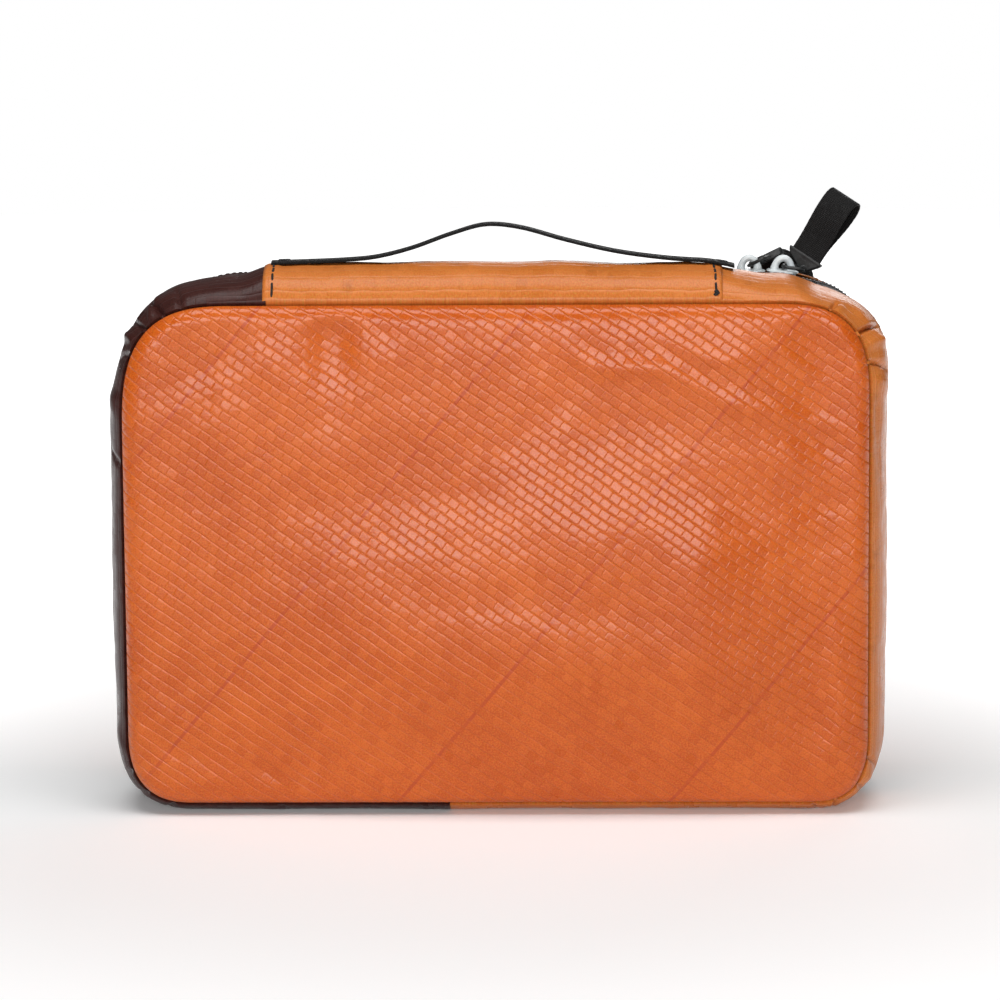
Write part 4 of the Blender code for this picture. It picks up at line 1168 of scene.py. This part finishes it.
# The moulded end's narrow part: rise, width, thickness, share of the shift
NOSES = {
    "a": ((0.0004, 0.0033, 0.0024, 0), (0.0026, 0.0043, 0.0029, 0), (0.0029, 0.0072, 0.0030, 0.3),
          (0.0034, END_WIDTH - 0.0024, 0.0033, 1), (0.0040, END_WIDTH - 0.0008, 0.0034, 1)),
    "b": ((-0.0004, 0.0052, 0.0024, 0.1), (0.0002, 0.0068, 0.0029, 0.2), (0.0014, 0.0098, 0.0031, 0.5),
          (0.0026, 0.0132, 0.0033, 0.8), (0.0036, END_WIDTH - 0.0016, 0.0034, 1)),
}
SOCKET = (
    (0.0045, END_WIDTH - 0.0005, 0.0034, 1), (0.0048, END_WIDTH - 0.0002, END_THICKNESS - 0.0001, 1),
    (0.0051, END_WIDTH, END_THICKNESS, 1), (0.0056, END_WIDTH, END_THICKNESS, 1),
    (END_RISE, END_WIDTH - 0.0004, END_THICKNESS - 0.0004, 1), (END_RISE, LOOP_WIDTH + 0.0009, 0.0026, 1),
    (END_RISE - 0.0003, LOOP_WIDTH + 0.0006, 0.0024, 1),
    (END_RISE - SOCKET_DEPTH, LOOP_WIDTH + 0.0006, 0.0024, 1),
)
EYE_BORE = RING_WIRE + 0.00032


def axes(along_x, along_z):
    """A turn with its x and z axes as near these ways as they can be."""
    x, z = along_x.normalized(), along_z.normalized()
    z = (z - x * z.dot(x)).normalized()
    return Matrix((x, z.cross(x), z)).transposed()


def pull_points(name):
    """The ring's turn, the middle of its far bar, and the pull's turn."""
    origin, turn = slider_frame(name)
    spec = PULLS[name]
    hole = origin + turn @ Vector((0, 0, slider_levels()[3] + RING_WIRE + 3 * GAP))
    way = spec["way"].normalized()
    side = (spec["side"] - way * spec["side"].dot(way)).normalized()
    level = Matrix((way, side, way.cross(side))).transposed()
    along, across = spec["held"]
    far = hole + way * (RING_LENGTH - along) - side * across
    return level, far, axes(spec["bar"], spec["rise"])


def ring(name):
    """The wire ring: a rounded rectangle with its far bar at the pull."""
    turn, far, _ = pull_points(name)
    half, corner = RING_WIDTH / 2, RING_CORNER
    near = corner - RING_LENGTH
    points = []
    for k, (along, side) in enumerate(((near, half - corner), (near, corner - half),
                                       (-corner, corner - half), (-corner, half - corner))):
        for i in range(11):
            angle = math.pi / 2 * (k + 1 + i / 10)
            points.append(Vector((along + corner * math.cos(angle), side + corner * math.sin(angle), 0)))
    up = Vector((0, 0, 1))
    sections = []
    for i, point in enumerate(points):
        ahead = (points[(i + 1) % len(points)] - points[i - 1]).normalized()
        out = ahead.cross(up).normalized()
        sections.append([far + turn @ p for p in ring_of(point, out * RING_WIRE, up * RING_WIRE, 16)])
    bm = bmesh.new()
    tube_rings(bm, sections, closed=True)
    settle(made_solid(f"ring_{name}_wire", bm, MOULDED), f"ring_{name}", f"pull_{name}_ring")


def rounded(wide, thick, corner, steps=4):
    """Points round a rectangle with round corners."""
    x, y = wide / 2 - corner, thick / 2 - corner
    spots = []
    for cx, cy, start in ((x, y, 0), (-x, y, 1), (-x, -y, 2), (x, -y, 3)):
        for i in range(steps + 1):
            w = math.pi / 2 * (start + i / steps)
            spots.append((cx + corner * math.cos(w), cy + corner * math.sin(w)))
    return spots


def moulded_end(name):
    """The moulded end: a collar round the ring that widens to a lipped socket."""
    level, far, turn = pull_points(name)
    shift = PULLS[name]["shift"]
    bm = bmesh.new()
    sections = []
    for rise, wide, thick, share in NOSES[name] + SOCKET:
        corners = rounded(wide, thick, min(0.0011, thick * 0.42))
        sections.append([far + turn @ Vector((x + shift * share, y, rise)) for x, y in corners])
    tube_rings(bm, sections)
    bar, out = level @ Vector((0, 1, 0)), turn @ Vector((0, 0, 1))
    across = bar.cross(out).normalized()
    eye = []
    for radius, walls in ((EYE_RADIUS, ((-0.5, 0.86), (-0.42, 1.0), (0.42, 1.0), (0.5, 0.86))),
                          (EYE_BORE, ((0.5, 1.15), (0.40, 1.0), (-0.40, 1.0), (-0.5, 1.15)))):
        for along, size in walls:
            centre, reach = far + bar * EYE_LENGTH * along, radius * size
            eye.append(ring_of(centre, across * reach, out * reach, 20))
    tube_rings(bm, eye, closed=True)
    grip = made_solid(f"pull_{name}_grip", bm, MOULDED, 50)
    settle(grip, f"pull_{name}", f"pull_{name}_end")


def loop_line(bend):
    """The loop's middle line: points, ways, and how far the legs stand from it."""
    straight, turn_length = 0.0012, 0.0100
    last = LOOP_LENGTH - 1.4 * LOOP_BELLY - LOOP_WEBBING
    spots = [-SOCKET_DEPTH + GAP, 0.0, straight]
    spots += [straight + turn_length * i / 12 for i in range(1, 13)]
    spots += [mixed(straight + turn_length, last, i / 12) for i in range(1, 13)]
    line, point, before = [], Vector((0.0, spots[0])), spots[0]
    for station in spots:
        angle = bend * smooth((station - straight) / turn_length)
        way = Vector((math.sin(angle), math.cos(angle)))
        point = point + way * (station - before)
        before = station
        opened = smooth((station - 0.003) / 0.021) ** 1.1
        line.append((point, way, mixed(LEG_SPACE, LOOP_BELLY * 1.55, opened)))
    return line


def webbing_section(width, thick):
    """Points (across, depth) round a piece of webbing with soft edges, depth from 0 to thick."""
    half, soft = width / 2, thick * 0.42
    across = [half - soft, half - 0.3 * soft, half, half - 0.3 * soft, half - soft]
    depth = [0.0, 0.12 * thick, thick / 2, 0.88 * thick, thick]
    right = list(zip(across, depth))
    top = [(half * k, thick) for k in (0.6, 0.2, -0.2, -0.6)]
    left = [(-a, d) for a, d in reversed(right)]
    low = [(half * k, 0.0) for k in (-0.6, -0.2, 0.2, 0.6)]
    return right + top + left + low


def loop(name):
    """The webbing loop: up one leg, round the end and down the other."""
    _, far, turn = pull_points(name)
    line = loop_line(PULLS[name]["bend"])
    steps = [(point, way, wide, math.pi / 2) for point, way, wide in line]
    steps += [(*line[-1], math.pi / 2 * (1 - i / 10)) for i in range(1, 11)]
    shift = PULLS[name]["shift"]
    sections, marks, travelled, before = [], [], 0.0, None
    profile = webbing_section(LOOP_WIDTH, LOOP_WEBBING)
    for side, order in ((1, steps), (-1, steps[-2::-1])):
        for point, way, wide, angle in order:
            normal = Vector((way.y, -way.x))
            reach = side * math.sin(angle) * normal + math.cos(angle) * way
            scallop = 1 + 0.006 * math.sin(travelled * 2 * math.pi / 0.0024)
            depths = ((x * scallop + shift, point + reach * (wide + deep)) for x, deep in profile)
            sections.append([far + turn @ Vector((x, at.x, END_RISE + at.y)) for x, at in depths])
            centre = point + reach * wide
            if before is not None:
                travelled += (centre - before).length
            before = centre
            marks.append(travelled)
    bm = bmesh.new()
    tube_rings(bm, sections, marks=marks + [marks[-1]])
    settle(made_solid(f"pull_{name}_webbing", bm, INK, 60), f"pull_{name}", f"pull_{name}_loop")


for name in PULLS:
    slider(name)
    ring(name)
    moulded_end(name)
    loop(name)

# ---- Handle -----------------------------------------------------------------------------


def arch_height(x):
    """Height of the handle over the top: a smooth curve through HANDLE_ARCH."""
    spots = HANDLE_ARCH
    x = min(max(x, spots[0][0]), spots[-1][0])
    k = max(i for i in range(len(spots) - 1) if spots[i][0] <= x)
    before, after = max(k - 1, 0), min(k + 2, len(spots) - 1)
    (x0, h0), (x1, h1) = spots[k], spots[k + 1]
    share = (x - x0) / (x1 - x0)
    slope0 = (h1 - spots[before][1]) / (x1 - spots[before][0]) * (x1 - x0)
    slope1 = (spots[after][1] - h0) / (spots[after][0] - x0) * (x1 - x0)
    s2, s3 = share * share, share**3
    start = (2 * s3 - 3 * s2 + 1) * h0 + (s3 - 2 * s2 + share) * slope0
    return start + (3 * s2 - 2 * s3) * h1 + (s3 - s2) * slope1


def strap_floor(x, y):
    """Height of the strap's underside where it lies on the top piece."""
    return skin(top_place(x), y).z + MIDDLE_RAISE + GAP + 0.0003


def handle_piece(name, start, end):
    """The strap's webbing from one x to another."""
    count = round((end - start) / 0.0016)
    profile = webbing_section(HANDLE_WIDTH, WEBBING)
    sections, marks = [], []
    for i in range(count + 1):
        x = mixed(start, end, i / count)
        slope = (arch_height(x + 0.0005) - arch_height(x - 0.0005)) / 0.001
        lean = Vector((-slope, 0, 1)).normalized()
        scallop = 1 + 0.008 * math.sin(x * 2 * math.pi / 0.0023)
        spots = []
        for across, deep in profile:
            y = HANDLE_Y + across * scallop
            spots.append(Vector((x, y, strap_floor(x, y) + arch_height(x))) + lean * deep)
        sections.append(spots)
        marks.append(x)
    bm = bmesh.new()
    tube_rings(bm, sections, marks=marks + [marks[-1]])
    return made_solid(name, bm, INK, 60)


LEFT_END, LEFT_SEWN, LEFT_GRIP, RIGHT_GRIP, RIGHT_SEWN, RIGHT_END = HANDLE_JOINTS
settle(handle_piece("handle_middle", LEFT_GRIP, RIGHT_GRIP), "handle", "handle_grip")
for side, start, end, far_x, near_x in (
    ("left", LEFT_END, LEFT_GRIP, LEFT_SEWN, LEFT_GRIP),
    ("right", RIGHT_GRIP, RIGHT_END, RIGHT_SEWN, RIGHT_GRIP),
):
    strap = handle_piece(f"handle_{side}", start, end)
    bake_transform(strap)
    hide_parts(f"handle_leg_{side}", f"handle_end_{side}")


def tack(side, x):
    """A bar tack: close stitches across the webbing."""
    bm = bmesh.new()
    for k in range(7):
        at = x - 0.0021 + 0.0007 * k

        def path(t, at=at):
            y = HANDLE_Y - 0.0054 + t
            spot = Vector((at + 0.0002 * math.sin(t * 900), y, strap_floor(at, y) + WEBBING))
            return spot, Vector((0, 0, 1))

        stitch_row(bm, path, 0.0, 0.0108, 0.0026, 0.0001, 0.00028, 0.0002, seed=k)
    settle(made_solid(f"tack_{side}", bm, THREAD_BLACK), "tub", f"handle_tack_{side}")


tack("left", -0.0955)
tack("right", 0.1005)


def strip_stitches(side, x, knot):
    """The black stitches that hold an end of the top strip."""
    bm = bmesh.new()

    def path(t):
        y = Y_FRONT + 0.0003 + t
        lean = 0.0009 * math.sin(t * 75 + (0.6 if side == "left" else 2.2))
        place = top_place(x + lean)
        way = (skin(place, y + 0.0004) - skin(place, y - 0.0004)).normalized()
        out = Vector((1, 0, 0)).cross(way)
        out = out if out.z > 0 or out.y < 0 else -out
        lift = 0.0009 + gusset_lift(arc_of(place), y)
        return skin(place, y) + out_way(place, depth_shape(y)[0]) * lift, out.normalized()

    stitch_row(bm, path, 0.0002, 0.0385, 0.0042, 0.0002, 0.00052, 0.0003, seed=x * 100)
    if knot:
        spot, _ = path(0.0007)
        for dx, dz in ((-0.0003, 0.0), (0.0004, 0.0007), (0.0, 0.0014)):
            rings = []
            for w in (math.pi * (i / 6 - 0.5) for i in range(7)):
                size = 0.00075 * math.cos(w) + 0.00002
                centre = spot + Vector((dx + 0.0011 * math.sin(w), 0, dz))
                rings.append(ring_of(centre, Vector((0, size, 0)), Vector((0, 0, size)), 8))
            tube_rings(bm, rings)
    settle(made_solid(f"strip_thread_{side}", bm, THREAD_BLACK), "tub", f"gusset_stitching_{side}")


strip_stitches("left", TOP_PIECE[0] + 0.0035, False)
strip_stitches("right", TOP_PIECE[1] - 0.0035, True)

# ---- Floor, light and camera ------------------------------------------------------------


def floor():
    """A pale floor with painted light: it glows, more away from the box and behind it."""
    bm = bmesh.new()
    count = 64
    rings = [[bm.verts.new(p) for p in ring_of(Vector(), Vector((r, 0, 0)), Vector((0, r, 0)), count)]
             for r in (0.15, 0.4, 0.8, 1.4, 2.4)]
    for a, b in zip(rings, rings[1:]):
        for i in range(count):
            j = (i + 1) % count
            bm.faces.new((a[i], b[i], b[j], a[j]))
    bm.faces.new(rings[0])
    f = Finish("pale_floor", Roughness=0.9, Specular_IOR_Level=0.05, Emission_Color=(1.0, 1.0, 1.0, 1.0))
    place = f.node("TexCoord", give=("Object",))[0]
    away = f.node("VectorMath", {0: place}, ("Value",), operation="LENGTH")[0]
    depth = f.node("SeparateXYZ", {0: place}, (1,))[0]
    # Painted light: the floor glows faintly near the box and in front of it, and strongly further off and
    # behind, where the lamps fall off; the ground by the box is left darker.
    f.link(f.ramp(away, 0.22, 0.55, 0.16, 0.80) * f.ramp(depth, -0.20, 0.20, 0.30, 1.0), "Emission Strength")
    f.link(f.mix(f.noise(place, 3.0, 2.0), (0.93, 0.93, 0.93, 1), (0.95, 0.95, 0.95, 1)), "Base Color")
    made("floor", bm, f.material)



def studio():
    """A white world to the camera, and a dim one to everything it lights."""
    world = bpy.data.worlds.new("studio")
    bpy.context.scene.world = world
    world.use_nodes = True
    nodes, links = world.node_tree.nodes, world.node_tree.links
    backdrop, glow = nodes["Background"], nodes.new("ShaderNodeBackground")
    for node, strength in ((backdrop, 1.0), (glow, 0.13)):
        node.inputs["Color"].default_value = (1.0, 1.0, 1.0, 1.0)
        node.inputs["Strength"].default_value = strength
    choice = nodes.new("ShaderNodeMixShader")
    links.new(nodes.new("ShaderNodeLightPath").outputs["Is Camera Ray"], choice.inputs[0])
    links.new(glow.outputs[0], choice.inputs[1])
    links.new(backdrop.outputs[0], choice.inputs[2])
    links.new(choice.outputs[0], nodes["World Output"].inputs[0])


def softbox(name, place, aim, wide, tall, power):
    """A rectangular light that faces the aim."""
    data = bpy.data.lights.new(name, "AREA")
    data.shape = "RECTANGLE"
    data.size, data.size_y = wide, tall
    data.energy = power
    obj = bpy.data.objects.new(name, data)
    bpy.context.scene.collection.objects.link(obj)
    obj.location = place
    obj.rotation_euler = (Vector(aim) - Vector(place)).to_track_quat("-Z", "Y").to_euler()


CAMERA_TURN, CAMERA_RISE, CAMERA_ROLL = math.radians(1.6), math.radians(9.8), math.radians(-0.45)
CAMERA_AWAY, CAMERA_AIM, CAMERA_LENS = 2.270, Vector((0.0, 0.0, 0.1373)), 180.0


def camera():
    """A long lens, a little above the box and to its right."""
    data = bpy.data.cameras.new("camera")
    data.lens = CAMERA_LENS
    data.sensor_width = 36.0
    obj = bpy.data.objects.new("camera", data)
    bpy.context.scene.collection.objects.link(obj)
    flat = math.cos(CAMERA_RISE)
    way = Vector((math.sin(CAMERA_TURN) * flat, -math.cos(CAMERA_TURN) * flat, math.sin(CAMERA_RISE)))
    obj.location = CAMERA_AIM + CAMERA_AWAY * way
    obj.rotation_euler = (CAMERA_AIM - obj.location).to_track_quat("-Z", "Y").to_euler()
    obj.rotation_euler.rotate_axis("Z", CAMERA_ROLL)
    bpy.context.scene.camera = obj


floor()
studio()
softbox("key", (-0.15, -2.00, 0.51), (0, 0, 0.12), 1.50, 0.62, 20.0)
softbox("back", (0.5, 1.90, 0.80), (0, 0, 0.12), 1.30, 0.60, 8.0)
softbox("top", (0.0, -0.45, 1.7), (0, 0.1, 0.0), 1.5, 0.9, 21)
camera()
bpy.context.scene.view_settings.view_transform = "Standard"
